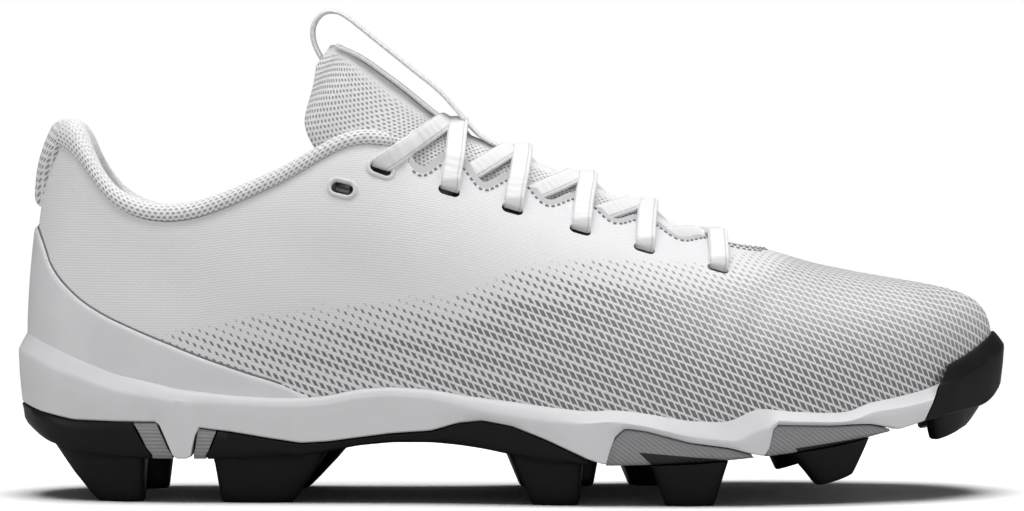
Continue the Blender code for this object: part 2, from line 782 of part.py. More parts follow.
def build_insole(group):
    rings = []
    count = 26
    inset = WALL + 2 * GAP
    start = -141.0 * ALONG
    end = 140.5 * ALONG
    for i in range(count + 1):
        f = 0.5 - 0.5 * math.cos(math.pi * i / count)
        x = start + f * (end - start)
        t = station(x)
        foot = at("foot", t)
        halves = []
        for side in SIDES:
            halves.append([
                shell_point(side, t, foot, -inset),
                shell_point(side, t, foot + INSOLE_THICKNESS, -inset - 0.0004),
            ])
        rings.append([halves[0][0], halves[0][1], halves[1][1], halves[1][0]])
    return loft("insole", rings, "mesh", group)


def tongue_rows():
    return {
        "along": [row.along * ALONG for row in TONGUE],
        "height": [row.height * HIGH for row in TONGUE],
        "half": [row.half * ACROSS for row in TONGUE],
        "fall": [row.fall * HIGH for row in TONGUE],
    }


def extend(values):
    return [2 * values[0] - values[1]] + values + [2 * values[-1] - values[-2]]


TONGUE_COLUMNS = {name: extend(values) for name, values in tongue_rows().items()}


def tongue_frame(s):
    """Crown point of the tongue at row s, with its forward normal in the side view."""
    step = 0.05
    place = Vector((spline(TONGUE_COLUMNS["along"], s), 0.0, spline(TONGUE_COLUMNS["height"], s)))
    place.y = centre(place.x)
    dx = spline(TONGUE_COLUMNS["along"], s + step) - spline(TONGUE_COLUMNS["along"], s - step)
    dz = spline(TONGUE_COLUMNS["height"], s + step) - spline(TONGUE_COLUMNS["height"], s - step)
    normal = Vector((dz, 0.0, -dx)).normalized()
    return place, normal


def tongue_point(s, c, depth=0.0):
    """Outer face of the tongue at row s, c from edge to edge; depth goes in toward the foot."""
    place, normal = tongue_frame(s)
    half = spline(TONGUE_COLUMNS["half"], s)
    fall = spline(TONGUE_COLUMNS["fall"], s)
    across = Vector((0.0, 1.0, 0.0))
    point = place + across * (half * c) - normal * (fall * c * c)
    lean = math.atan2(2.0 * fall * c, half)
    face = (normal * math.cos(lean) + across * math.sin(lean)).normalized()
    return point - face * depth


def build_tongue(group):
    shares = (-1.0, -0.8, -0.55, -0.28, 0.0, 0.28, 0.55, 0.8, 1.0)
    rings = []
    count = 19
    last = len(TONGUE) - 1
    for i in range(count + 1):
        s = last * i / count
        outer = [tongue_point(s, c) for c in shares]
        inner = []
        for c in shares:
            thick = TONGUE_THICKNESS * (1.0 if abs(c) < 0.9 else 0.55)
            inner.append(tongue_point(s, c, thick))
        rings.append(outer + list(reversed(inner)))
    return loft("tongue", rings, "mesh", group)


def strap(name, path, normals, width, thickness, slot, group):
    """Flat strap whose middle follows the path, facing along the normals."""
    rings = []
    for i, place in enumerate(path):
        run = path[min(i + 1, len(path) - 1)] - path[max(i - 1, 0)]
        side = run.cross(normals[i]).normalized()
        face = side.cross(run).normalized()
        ring = []
        for a, b in ((-1, -0.4), (-0.82, 1), (0.82, 1), (1, -0.4), (0.82, -1), (-0.82, -1)):
            ring.append(place + side * (a * width / 2) + face * (b * thickness / 2))
        rings.append(ring)
    return loft(name, rings, slot, group)


def build_loop(group):
    path = []
    normals = []
    rows = [Vector((row.along * ALONG, 0.0, row.height * HIGH)) for row in PULL_LOOP]
    for i, place in enumerate(rows):
        place.y = centre(place.x)
        run = rows[min(i + 1, len(rows) - 1)] - rows[max(i - 1, 0)]
        path.append(place)
        normals.append(Vector((-run.z, 0.0, run.x)).normalized())
    return strap("pull_loop", path, normals, RIBBON_WIDTH, RIBBON_THICKNESS, "lace", group)


def tongue_row_at(x):
    return solve(lambda s: -spline(TONGUE_COLUMNS["along"], s), -x, 0.0, len(TONGUE) - 1.0)


def lace_side(side, slot, lift, forward):
    """Points from a slot over the eyestay to the throat edge, which it meets a little forward."""
    _, _, _, start, v = slot_frame(side, slot)
    end = station((slot.along + forward) * ALONG, "rim_along")
    points = []
    normals = []
    edge = edge_share(side, end)
    for f in (0.0, 0.34, 0.67, 1.0):
        t = start + f * (end - start)
        w = v + 0.03 + (edge - v - 0.03) * f
        face = upper_normal(side, t, w)
        points.append(upper_point(side, t, w) + face * (lift + f * LACE_RISE + LACE_THICKNESS / 2))
        normals.append(face)
    return points, normals


def lace_crown(x, c, lift):
    s = solve(lambda row: -tongue_point(row, c).x, -x, 0.0, len(TONGUE) - 1.0)
    place = tongue_point(s, c, -(lift + LACE_THICKNESS / 2))
    normal = (tongue_point(s, c, -0.001) - tongue_point(s, c)).normalized()
    return place, normal


def bar_path(slot):
    """From slot to slot straight over the tongue."""
    path, normals = lace_side(LATERAL, slot, LACE_LIFT, 0.0)
    far, far_normals = lace_side(MEDIAL, slot, LACE_LIFT, 0.0)
    x = slot.along * ALONG
    edge = throat_half(x) / spline(TONGUE_COLUMNS["half"], tongue_row_at(x))
    for c in (-0.62, -0.31, 0.0, 0.31, 0.62):
        place, normal = lace_crown(x, c * edge, BAR_LIFT)
        path.append(place)
        normals.append(normal)
    return path + list(reversed(far)), normals + list(reversed(far_normals))


def diagonal_path(rear, front):
    """Under the bar of the front slot, from one throat edge to the other."""
    path = []
    normals = []
    top = rear.name == "slot_1"
    start = (rear.along + (12.0 if top else 5.0)) * ALONG
    end = (front.along + 9.0) * ALONG
    if top:
        path, normals = lace_side(LATERAL, rear, LACE_LIFT, 12.0)
    shares = (-0.76, -0.57, -0.38, -0.19, 0.0, 0.19, 0.38, 0.57, 0.76)
    for c in shares[:6] if front is SLOTS[-1] else shares:
        x = start + (end - start) * (0.5 + c / 1.52)
        edge = throat_half(x) / spline(TONGUE_COLUMNS["half"], tongue_row_at(x))
        place, normal = lace_crown(x, c * edge, LACE_LIFT)
        path.append(place)
        normals.append(normal)
    return path, normals


def build_laces(group, cutters):
    """Each crossing: a bar over the diagonal that dives under the eyestay toward the slot behind."""
    for rear, front in zip(SLOTS[1:], SLOTS[2:]):
        name = "lace_cross_" + front.name[-1]
        path, normals = bar_path(front)
        bar = strap(name, path, normals, LACE_WIDTH, LACE_THICKNESS, "lace", group)
        path, normals = diagonal_path(rear, front)
        under = strap(name + "_under", path, normals, LACE_WIDTH, LACE_THICKNESS, "lace", cutters)
        under.hide_render = True
        under.display_type = "WIRE"
        join = bar.modifiers.new("under", "BOOLEAN")
        join.operation = "UNION"
        join.solver = "EXACT"
        join.object = under


def main():
    clear_scene()
    group = collection("football_cleat")
    cutters = collection("cutters")
    build_upper(group, cutters)
    build_collar(group)
    build_counter(group)
    build_midsole(group)
    rubber = build_rubber(group)
    rubber["toe_bumper"] = build_bumper(group)
    build_studs(group, cutters, rubber)
    build_insole(group)
    build_tongue(group)
    build_loop(group)
    build_laces(group, cutters)


main()
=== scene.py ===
"""Dressing of the football cleat: finishes and fine forms of each piece, floor, light and camera.

Metres, +Z up, floor at z = 0, toe toward +X, outer side of the foot toward -Y.
The tables follow the part's source at its sample size, in millimetres, and refine it at heel and toe.
"""
import math
from collections import namedtuple

import bpy
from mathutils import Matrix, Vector


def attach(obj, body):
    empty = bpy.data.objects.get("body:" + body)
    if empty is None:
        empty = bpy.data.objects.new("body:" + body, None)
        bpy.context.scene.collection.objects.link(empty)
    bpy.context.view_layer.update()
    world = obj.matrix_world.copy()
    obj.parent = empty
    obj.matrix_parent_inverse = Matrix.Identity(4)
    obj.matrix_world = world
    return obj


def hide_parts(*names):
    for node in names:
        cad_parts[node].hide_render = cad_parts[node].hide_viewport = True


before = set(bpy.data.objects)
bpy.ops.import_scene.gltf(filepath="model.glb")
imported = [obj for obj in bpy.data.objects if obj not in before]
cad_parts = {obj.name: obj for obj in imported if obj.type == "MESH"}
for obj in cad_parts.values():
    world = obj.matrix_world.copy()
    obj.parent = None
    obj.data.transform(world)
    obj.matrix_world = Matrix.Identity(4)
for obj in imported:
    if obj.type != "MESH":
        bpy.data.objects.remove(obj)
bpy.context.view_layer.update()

MM = 0.001
UP = Vector((0.0, 0.0, 1.0))
LATERAL = -1
MEDIAL = 1
SIDES = (LATERAL, MEDIAL)
WELD = 1e-5

# Thicknesses and gaps
WALL = 0.0022
GAP = 0.0004
COUNTER_THICKNESS = 0.0008
INSOLE_THICKNESS = 0.004
TONGUE_THICKNESS = 0.0046
RIBBON_WIDTH = 0.013
RIBBON_THICKNESS = 0.0013
LACE_WIDTH = 0.0060
LACE_THICKNESS = 0.0017
LACE_LIFT = 0.0006
LACE_RISE = 0.0011
BAR_LIFT = 0.0021
SLOT_LENGTH = 0.0067
SLOT_WIDTH = 0.0036
CUP_BASE = 0.0039
FOOTBED = 0.0022
LEDGE = 0.0012

# Sections of the last, heel to toe: foot outline either side, its height, the rim and the wall's angles
Section = namedtuple("Section", "name along lateral medial foot rim_along rim_half rim flare lean full")
SECTIONS = [
    Section("heel_back", -145.5, 0.0, 0.0, 26.0, -140.5, 0.0, 107.0, 5, 8, 0.36),
    Section("heel_corner", -137.0, 19.5, 19.5, 26.0, -132.0, 17.0, 103.4, 5, 8, 0.36),
    Section("heel_side", -118.0, 29.5, 29.0, 25.5, -117.5, 26.5, 87.3, 5, 8, 0.36),
    Section("collar_low", -98.0, 32.5, 31.0, 25.5, -98.0, 30.0, 84.0, 5, 10, 0.36),
    Section("quarter", -72.0, 34.0, 30.5, 26.5, -72.0, 30.3, 93.8, 5, 18, 0.36),
    Section("quarter_front", -50.0, 35.0, 30.0, 27.5, -49.0, 27.8, 106.0, 5, 26, 0.36),
    Section("eyestay_top", -32.0, 36.5, 30.0, 27.5, -31.5, 22.5, 105.0, 5, 40, 0.37),
    Section("eyestay_high", -10.0, 39.5, 31.5, 25.5, -9.0, 17.0, 101.3, 5, 53, 0.38),
    Section("eyestay_mid", 18.0, 44.0, 36.5, 22.0, 18.0, 11.0, 93.9, 5, 67, 0.40),
    Section("eyestay_low", 45.0, 46.0, 42.0, 20.5, 45.0, 5.0, 84.2, 6, 80, 0.41),
    Section("throat_corner", 64.0, 45.4, 44.6, 21.0, 64.0, 0.0, 77.6, 7, 90, 0.42),
    Section("throat_point", 80.0, 43.0, 45.0, 22.6, 77.0, 0.0, 74.2, 7, 90, 0.43),
    Section("vamp", 98.0, 38.0, 43.5, 26.0, 90.0, 0.0, 70.3, 7, 90, 0.46),
    Section("toe_side", 116.0, 30.0, 39.5, 30.0, 102.0, 0.0, 67.7, 7, 90, 0.50),
    Section("toe_corner", 130.5, 19.3, 33.0, 33.2, 109.0, 0.0, 66.4, 7, 90, 0.55),
    Section("toe_tip", 144.9, -7.0, 7.0, 35.6, 115.0, 0.0, 65.4, 7, 90, 0.60),
]
THROAT_TOP = 6
RIDGE_START = 10
RIDGE_LEAN_FROM = 9
TOE_TIP = 15
NEAR_TOP = 0.97
TOE_SWING = 6.5 * MM
SWING_START = -60.0 * MM
SWING_END = 115.0 * MM

# Throat opening: half width from the top eyelets down to its round end
ThroatRow = namedtuple("ThroatRow", "along half")
THROAT = [ThroatRow(*row) for row in (
    (-31.5, 22.5), (-9.0, 20.0), (18.0, 17.5), (45.0, 14.5), (60.0, 11.5),
)]
THROAT_END = 77.0

# Sections of the sole: top of the white cup, seam between cup and rubber, underside
Sole = namedtuple("Sole", "along cup seam base")
SOLE = [Sole(*row) for row in (
    (-145.5, 50.0, 28.5, 22.0), (-139.0, 47.4, 26.4, 17.6), (-130.0, 43.3, 24.6, 14.6),
    (-118.0, 38.8, 24.4, 13.4), (-105.3, 35.6, 24.4, 13.2), (-100.6, 34.3, 13.4, 13.2),
    (-95.6, 33.6, 13.4, 13.2), (-94.0, 33.4, 22.8, 13.2), (-84.0, 32.2, 21.6, 13.3),
    (-73.0, 31.6, 19.8, 13.6), (-63.0, 31.5, 18.3, 14.2), (-55.0, 32.2, 18.8, 15.6),
    (-46.0, 34.2, 20.0, 17.4), (-36.0, 34.9, 21.3, 18.4), (-24.0, 34.2, 22.2, 18.5),
    (-16.0, 32.8, 24.6, 17.8), (-9.0, 31.8, 25.4, 16.8), (0.0, 30.8, 23.8, 15.0),
    (10.0, 29.4, 19.8, 13.0), (22.0, 28.1, 14.2, 12.2), (27.6, 28.5, 12.3, 12.1),
    (29.2, 28.6, 20.0, 12.1), (32.6, 28.4, 23.4, 12.2), (38.9, 27.6, 22.6, 12.4),
    (51.6, 25.4, 19.2, 12.9), (63.0, 25.0, 17.6, 13.7), (71.0, 29.0, 15.4, 14.5),
    (74.0, 28.9, 15.0, 14.8), (76.0, 28.6, 24.4, 15.0), (81.0, 28.0, 24.2, 15.6),
    (93.0, 27.3, 23.8, 17.4), (99.0, 27.6, 24.0, 18.5), (104.5, 30.1, 24.0, 19.8),
    (111.0, 31.1, 22.6, 21.4), (112.6, 31.4, 22.0, 21.8), (121.0, 33.2, 24.4, 24.2),
    (129.0, 36.0, 26.4, 26.2), (138.0, 36.6, 27.6, 27.4), (142.0, 37.0, 29.4, 29.2),
    (144.0, 37.2, 32.0, 31.8), (144.9, 37.8, 34.4, 34.2),
)]

# Bevel under the cup's top edge: its drop, and its form in thousandths (1000 is straight, less is rounder)
BevelRow = namedtuple("BevelRow", "along drop form")
BEVEL = [BevelRow(*row) for row in (
    (-145.5, 5.6, 900), (-116.0, 5.2, 900), (-104.0, 4.2, 600), (-88.0, 3.0, 260), (-20.0, 3.0, 260),
    (6.0, 4.2, 600), (34.0, 3.2, 1000), (56.0, 4.6, 1000), (72.0, 7.4, 1000), (80.0, 2.6, 1000),
    (100.0, 2.4, 1000), (120.0, 3.4, 1000), (144.9, 3.4, 1000),
)]

# Rubber set under the cup: where each piece starts and ends along its top and along its underside
Rubber = namedtuple("Rubber", "node slot top_from top_to base_from base_to")
RUBBER = [
    Rubber("outsole_heel", "black", -145.5, -112.8, -145.5, -107.8),
    Rubber("pod_heel_rear", "grey", -112.2, -105.8, -107.2, -101.4),
    Rubber("pod_heel_front", "grey", -93.4, -88.2, -94.9, -91.4),
    Rubber("outsole_shank", "black", -87.6, 20.0, -90.8, 22.0),
    Rubber("pod_ball", "grey", 29.4, 69.5, 27.2, 70.4),
    Rubber("pod_front", "grey", 76.2, 110.0, 73.9, 110.6),
]

# Studs: run along the edge at the root, rake of rear and front, reach, host piece, underside and its rise
Stud = namedtuple("Stud", "name side start end rear front reach joins foot rise", defaults=(0.0, 0.0))
STUDS = [
    Stud("heel_rear_lateral", LATERAL, -141.0, -110.2, 15.0, 1.5, 16.0, "outsole_heel"),
    Stud("heel_rear_medial", MEDIAL, -143.0, -104.5, 15.0, 2.0, 16.0, "outsole_heel"),
    Stud("heel_front_lateral", LATERAL, -89.8, -54.0, 2.5, 12.0, 14.0, "outsole_shank"),
    Stud("heel_front_medial", MEDIAL, -88.0, -45.5, 2.5, 17.5, 14.0, "outsole_shank"),
    Stud("ball_rear_lateral", LATERAL, -2.5, 20.0, 7.0, 1.5, 15.0, "outsole_shank"),
    Stud("ball_rear_medial", MEDIAL, -6.0, 26.0, 7.0, 3.0, 15.0, "outsole_shank"),
    Stud("stud_ball_lateral", LATERAL, 40.0, 63.4, 4.5, 4.0, 16.0, ""),
    Stud("stud_ball_medial", MEDIAL, 30.0, 53.4, 4.5, 4.0, 16.0, ""),
    Stud("stud_front_lateral", LATERAL, 82.5, 106.0, 9.0, 4.0, 15.0, "", 5.6, 3.0),
    Stud("stud_front_medial", MEDIAL, 76.6, 98.0, 5.0, 4.0, 15.0, "", 4.4, 3.4),
    Stud("toe_lateral", LATERAL, 124.5, 145.0, 5.0, 5.0, 9.0, "toe_bumper", 17.8, 4.0),
    Stud("toe_medial", MEDIAL, 124.5, 145.0, 5.0, 5.0, 9.0, "toe_bumper", 17.8, 4.0),
]
STUD_DRAFT = 0.0036
STUD_ROOT = 0.0022

# Lace slots down each side of the throat, with the height of the rim that is set round each
Slot = namedtuple("Slot", "name along height rim")
SLOTS = [
    Slot("spare", -50.7, 93.6, 0.55),
    Slot("slot_1", -39.2, 99.3, 0.45),
    Slot("slot_2", -18.1, 92.9, 0.0),
    Slot("slot_3", 1.5, 87.4, 0.0),
    Slot("slot_4", 21.2, 81.2, 0.0),
    Slot("slot_5", 39.6, 75.6, 0.0),
    Slot("slot_6", 60.0, 69.7, 0.0),
]
SLOT_TILT = math.radians(-16)
NOTCHES = [-27.3, -7.9, 11.6, 30.8, 50.2]
NOTCH_HALF = 8.2
NOTCH_DEPTH = 0.0080
NOTCH_FORM = 0.8

# Tongue, toe end to top: crown line, half width and how far the edges fall behind the crown
TongueRow = namedtuple("TongueRow", "name along height half fall")
TONGUE = [
    TongueRow("toe_end", 86.0, 68.0, 8.0, 3.0),
    TongueRow("vamp", 74.0, 71.8, 12.0, 5.0),
    TongueRow("low", 60.0, 76.4, 17.0, 10.5),
    TongueRow("ball", 38.0, 87.0, 22.0, 15.5),
    TongueRow("middle", 18.0, 96.0, 25.0, 19.5),
    TongueRow("high", -4.0, 105.2, 24.5, 21.5),
    TongueRow("instep", -20.0, 112.4, 22.0, 24.0),
    TongueRow("rise", -35.0, 124.0, 19.0, 30.5),
    TongueRow("top", -48.0, 133.4, 18.5, 25.0),
    TongueRow("edge", -54.5, 137.6, 12.0, 8.0),
]
RIBBON_LEG_FROM = 6.15
RIBBON_LEG_TO = 8.8

# Lines seen from the side: the middle of the ribbon pull loop, then the counter's top from the heel forward
SideRow = namedtuple("SideRow", "along height")
PULL_LOOP = [SideRow(*row) for row in (
    (-57.6, 131.0), (-60.0, 135.6), (-60.9, 139.6), (-60.2, 143.0), (-57.8, 145.7), (-54.4, 146.2),
    (-50.2, 144.3), (-40.6, 136.7), (-31.0, 129.0), (-22.4, 122.0), (-15.4, 114.2), (-10.6, 109.0),
    (-4.0, 105.2), (2.0, 102.4),
)]
COUNTER = [SideRow(*row) for row in (
    (-145.5, 86.0), (-144.6, 80.0), (-143.0, 74.5), (-140.0, 69.4), (-132.3, 61.4), (-124.0, 56.4),
    (-108.5, 49.6), (-93.2, 43.4), (-78.1, 38.2), (-69.0, 35.6), (-61.0, 31.6),
)]
HEEL_V_DEPTH = 0.021
HEEL_V_END = 0.62
COLLAR_FRONT = 5.6
COLLAR_END = 5.95

# Toe bumper: top line seen from the side, and the slanted plane that parts it from the cup
BUMPER_START = 113.0
BUMPER_BACK = 37.8
BUMPER_TIP = 49.2
PARTING_ALONG = 124.0
PARTING_HEIGHT = 28.0
PARTING_LEAN = 0.46

# Soft troughs and ridges in the upper, seen from the side; a negative depth is a ridge
Crease = namedtuple("Crease", "name side along height angle length width depth")
CREASES = [
    Crease("flex_front", LATERAL, 72.0, 54.0, 62, 15.0, 3.6, 0.45),
    Crease("flex_ridge", LATERAL, 66.0, 54.0, 64, 14.0, 3.0, -0.25),
    Crease("flex_back", LATERAL, 58.0, 50.0, 68, 13.0, 3.4, 0.32),
    Crease("quarter_dip", LATERAL, -52.0, 70.0, -18, 26.0, 9.0, 0.55),
    Crease("ankle_dip", LATERAL, -104.0, 66.0, -30, 16.0, 9.0, 0.50),
    Crease("flex_front_inner", MEDIAL, 76.0, 54.0, 58, 15.0, 3.6, 0.45),
    Crease("flex_back_inner", MEDIAL, 62.0, 50.0, 66, 13.0, 3.2, 0.35),
    Crease("arch_dip", MEDIAL, -20.0, 58.0, -12, 28.0, 10.0, 0.60),
    Crease("ankle_dip_inner", MEDIAL, -100.0, 66.0, -28, 16.0, 9.0, 0.50),
]
COLLAR_GROOVE = 0.0006
COLLAR_GROOVE_WIDTH = 0.0024
SLOT_PUCKER = 0.0003
SLOT_PUCKER_REACH = 0.0052
PUCKER_FADE = 3.0


def column(field, scale, other=None):
    """Values of one column with a mirrored row at each end, so the outline closes smoothly."""
    rows = [getattr(row, field) * scale for row in SECTIONS]
    if other is None:
        return [rows[1]] + rows + [rows[-2]]
    mirror = [getattr(row, other) * scale for row in SECTIONS]
    return [-mirror[1]] + rows + [-mirror[-2]]


COLUMNS = {
    "along": column("along", MM),
    LATERAL: column("lateral", MM, "medial"),
    MEDIAL: column("medial", MM, "lateral"),
    "foot": column("foot", MM),
    "rim_along": column("rim_along", MM),
    "rim_half": column("rim_half", MM, "rim_half"),
    "rim": column("rim", MM),
    "flare": column("flare", math.pi / 180),
    "lean": column("lean", math.pi / 180),
    "full": column("full", 1.0),
}


def spline(values, t):
    """Smooth value at row t of a column that carries one extra row at each end."""
    row = max(0, min(int(math.floor(t)), len(values) - 4))
    f = t - row
    before, start, end, after = values[row:row + 4]
    turn = 2 * before - 5 * start + 4 * end - after
    twist = -before + 3 * start - 3 * end + after
    return start + 0.5 * f * ((end - before) + f * (turn + f * twist))


def at(name, t):
    return spline(COLUMNS[name], t)


def extend(values):
    return [2 * values[0] - values[1]] + list(values) + [2 * values[-1] - values[-2]]


def smooth_path(points, count):
    """Points spread along a smooth curve through the given ones."""
    values = extend(points)
    last = len(points) - 1
    return [spline(values, last * i / (count - 1)) for i in range(count)]


def spread(start, end, count):
    return [start + (end - start) * i / (count - 1) for i in range(count)]


def ease(f):
    f = max(0.0, min(1.0, f))
    return f * f * (3 - 2 * f)


def graph(rows, field, x):
    """Straight-line reading of a side-view table at the length x."""
    if x <= rows[0].along * MM:
        return getattr(rows[0], field) * MM
    for near, far in zip(rows, rows[1:]):
        if x <= far.along * MM:
            f = (x / MM - near.along) / (far.along - near.along)
            return (getattr(near, field) + f * (getattr(far, field) - getattr(near, field))) * MM
    return getattr(rows[-1], field) * MM


def soft_graph(rows, field, x, reach):
    """Reading of a table with its corners rounded over the given reach."""
    samples = [graph(rows, field, x + reach * i / 4) for i in range(-4, 5)]
    return sum(samples) / len(samples)


def solve(function, target, low, high):
    """Argument between low and high where a rising function meets the target."""
    for _ in range(34):
        middle = 0.5 * (low + high)
        if function(middle) < target:
            low = middle
        else:
            high = middle
    return 0.5 * (low + high)


def station(x, name="along"):
    """Row number of the section whose foot, or rim, stands at the length x."""
    if x <= COLUMNS[name][1]:
        return 0.0
    if x >= COLUMNS[name][-2]:
        return float(TOE_TIP)
    return solve(lambda t: at(name, t), x, 0.0, float(TOE_TIP))


def centre(x):
    return TOE_SWING * ease((x - SWING_START) / (SWING_END - SWING_START))


def foot_point(side, t):
    return Vector((at("along", t), side * at(side, t), at("foot", t)))


def rim_point(side, t):
    """Top of the section: the collar's rim, or a point toward the ridge that the throat cuts short."""
    x = at("rim_along", t)
    half = at("rim_half", t) if t < RIDGE_START else 0.0
    return Vector((x, centre(x) + side * half, at("rim", t)))


def throat_half(x):
    last = THROAT[-1].along * MM
    end = THROAT_END * MM
    if x >= end:
        return 0.0
    half = graph(THROAT, "half", min(x, last))
    if x > last:
        half *= math.sqrt(1.0 - ((x - last) / (end - last)) ** 2)
    return half


def outward(side, t):
    if t <= 0.0 or t >= TOE_TIP:
        return Vector((1.0 if t > 0.0 else -1.0, 0.0, 0.0))
    step = 0.02
    run = foot_point(side, t + step) - foot_point(side, t - step)
    return Vector((-side * run.y, side * run.x, 0.0)).normalized()


def ridge_slope(t):
    step = 0.3
    low = max(float(RIDGE_START), min(t, TOE_TIP - 1.0) - step)
    rise = at("rim", low + 2 * step) - at("rim", low)
    return rise / (at("rim_along", low + 2 * step) - at("rim_along", low))


def section_cage(side, t):
    """Four points that steer the upper's section from the foot outline to the rim or the vamp ridge."""
    out = outward(side, t)
    foot = foot_point(side, t)
    rim = rim_point(side, t)
    reach = at("full", t) * (rim - foot).length
    flare = at("flare", t)
    lean = min(at("lean", t), math.pi / 2)
    climb = UP * math.cos(lean) - out * math.sin(lean)
    climb.z -= max(0.0, min(1.0, t - RIDGE_LEAN_FROM)) * math.sin(lean) * ridge_slope(t) * out.x
    low = foot + reach * (out * math.sin(flare) + UP * math.cos(flare))
    return foot, low, rim - reach * climb, rim


CAGES = {}


def upper_point(side, t, v):
    """Outer face of the upper: v runs from the foot outline to the rim or the vamp ridge."""
    key = (side, t)
    if key not in CAGES:
        CAGES[key] = section_cage(side, t)
    foot, low, high, rim = CAGES[key]
    w = 1.0 - v
    return w ** 3 * foot + 3 * w * w * v * low + 3 * w * v * v * high + v ** 3 * rim


def upper_normal(side, t, v):
    v = min(v, NEAR_TOP)
    step = 0.02
    round_run = upper_point(side, t + step, v) - upper_point(side, t - step, v)
    rise = upper_point(side, t, v + step) - upper_point(side, t, v - step)
    return (side * rise.cross(round_run)).normalized()


def over_upper(side, t, v, out):
    """Point a given way out from the upper's face."""
    return upper_point(side, t, v) + upper_normal(side, t, v) * out


def section_speed(side, t):
    """Length of section near the rim for one unit of v."""
    return 3.0 * at("full", t) * (rim_point(side, t) - foot_point(side, t)).length


def height_on_upper(side, t, z):
    return solve(lambda v: upper_point(side, t, v).z, z, 0.0, 1.0)


def shell_point(side, t, z, out):
    """Point at height z on the upper, or straight below its foot, moved outward level."""
    foot = foot_point(side, t)
    face = foot if z <= foot.z else upper_point(side, t, height_on_upper(side, t, z))
    place = face + outward(side, t) * out
    place.z = z
    return place


def heel_v(t):
    return HEEL_V_DEPTH * max(0.0, 1.0 - t / HEEL_V_END)


def notch(x, shrink=0.0):
    """Depth of the throat's scallops at the length x; the backing's are smaller by shrink."""
    deep = 0.0
    half = NOTCH_HALF - shrink
    for middle in NOTCHES:
        off = abs(x / MM - middle) / half
        if off < 1.0:
            deep = max(deep, NOTCH_DEPTH * (0.5 + 0.5 * math.cos(math.pi * off)) ** NOTCH_FORM)
    return deep


def edge_share(side, t):
    """Share of the section below the throat's plain edge."""
    x = at("rim_along", t)
    if t <= THROAT_TOP or x >= THROAT_END * MM:
        return 1.0
    half = throat_half(x)
    return solve(lambda v: half - abs(upper_point(side, t, v).y - centre(x)), 0.0, 0.3, 1.0)


def rim_share(side, t):
    """Share of the section that the upper keeps below the heel V and the throat's scallops."""
    drop = heel_v(t) + notch(at("rim_along", t))
    return edge_share(side, t) - drop / section_speed(side, t)


def slot_frame(side, slot):
    t = station(slot.along * MM, "rim_along")
    v = height_on_upper(side, t, slot.height * MM)
    out = upper_normal(side, t, v)
    run = Vector((1.0, 0.0, math.tan(SLOT_TILT)))
    run = (run - out * out.dot(run)).normalized()
    return upper_point(side, t, v), out, run, t, v


SLOT_FRAMES = {(side, slot.name): slot_frame(side, slot) for side in SIDES for slot in SLOTS}


def relief(side, t, v, place):
    """Rise of the upper over its plain form: creases, collar groove and puckers round the slots."""
    lift = 0.0
    for crease in CREASES:
        if crease.side == side:
            dx = place.x / MM - crease.along
            dz = place.z / MM - crease.height
            angle = math.radians(crease.angle)
            run = dx * math.cos(angle) + dz * math.sin(angle)
            across = -dx * math.sin(angle) + dz * math.cos(angle)
            fall = (run / crease.length) ** 2 + (across / crease.width) ** 2
            lift -= crease.depth * MM * math.exp(-fall)
    if t < COLLAR_FRONT:
        below = (1.0 - v) * section_speed(side, t) - heel_v(t)
        lift -= COLLAR_GROOVE * math.exp(-(below / COLLAR_GROOVE_WIDTH) ** 2)
    for slot in SLOTS:
        off = (place - SLOT_FRAMES[side, slot.name][0]).length / SLOT_PUCKER_REACH
        if off < PUCKER_FADE:
            lift -= SLOT_PUCKER * math.exp(-off * off)
    return lift


def choose(piece):
    """Make one piece the only selected and active object."""
    bpy.ops.object.select_all(action="DESELECT")
    piece.select_set(True)
    bpy.context.view_layer.objects.active = piece


def lengths_to(points):
    """Length in millimetres along a line of points to each of them."""
    lengths = [0.0]
    for near, far in zip(points, points[1:]):
        lengths.append(lengths[-1] + (far - near).length / MM)
    return lengths


def arc_lengths(rings):
    """Lengths along and round a set of rings, for patterns that follow the surface."""
    middle = len(rings[0]) // 2
    run = lengths_to([ring[middle] for ring in rings])
    return [[(along, length) for length in lengths_to(ring)] for along, ring in zip(run, rings)]


def on_mesh(*steps):
    """Run mesh operations, each on the whole of the active piece."""
    bpy.ops.object.mode_set(mode="EDIT")
    for operation, settings in steps:
        bpy.ops.mesh.select_all(action="SELECT")
        operation(**settings)
    bpy.ops.object.mode_set(mode="OBJECT")


WELDED = (bpy.ops.mesh.remove_doubles, {"threshold": WELD})
FILLED = (bpy.ops.mesh.fill_holes, {"sides": 0})
TURNED_OUT = (bpy.ops.mesh.normals_make_consistent, {"inside": False})


def lay(name, rings, closed=False, caps=True, cloth=None, smooth=None):
    """A grid laid over rings of points; closed rings are welded round and their ends filled."""
    if closed:
        rings = [list(ring) + [ring[0]] for ring in rings]
    cloth = cloth or arc_lengths(rings)
    columns = len(rings[0]) - 1
    rows = len(rings) - 1
    bpy.ops.object.select_all(action="DESELECT")
    bpy.ops.mesh.primitive_grid_add(x_subdivisions=columns, y_subdivisions=rows, size=1.0)
    piece = bpy.context.object
    piece.name = name
    mesh = piece.data
    mesh.name = name
    corners = []
    for vertex in mesh.vertices:
        corners.append((round((vertex.co.y + 0.5) * rows), round((vertex.co.x + 0.5) * columns)))
    for vertex, (j, i) in zip(mesh.vertices, corners):
        vertex.co = rings[j][i]
    chart = mesh.uv_layers.active
    chart.name = "cloth"
    for loop in mesh.loops:
        j, i = corners[loop.vertex_index]
        chart.data[loop.index].uv = cloth[j][i]
    steps = [WELDED]
    if closed and caps:
        steps.append(FILLED)
    if closed:
        steps.append(TURNED_OUT)
    on_mesh(*steps)
    bpy.ops.object.shade_smooth()
    if smooth:
        smooth_by(piece, smooth)
    return piece


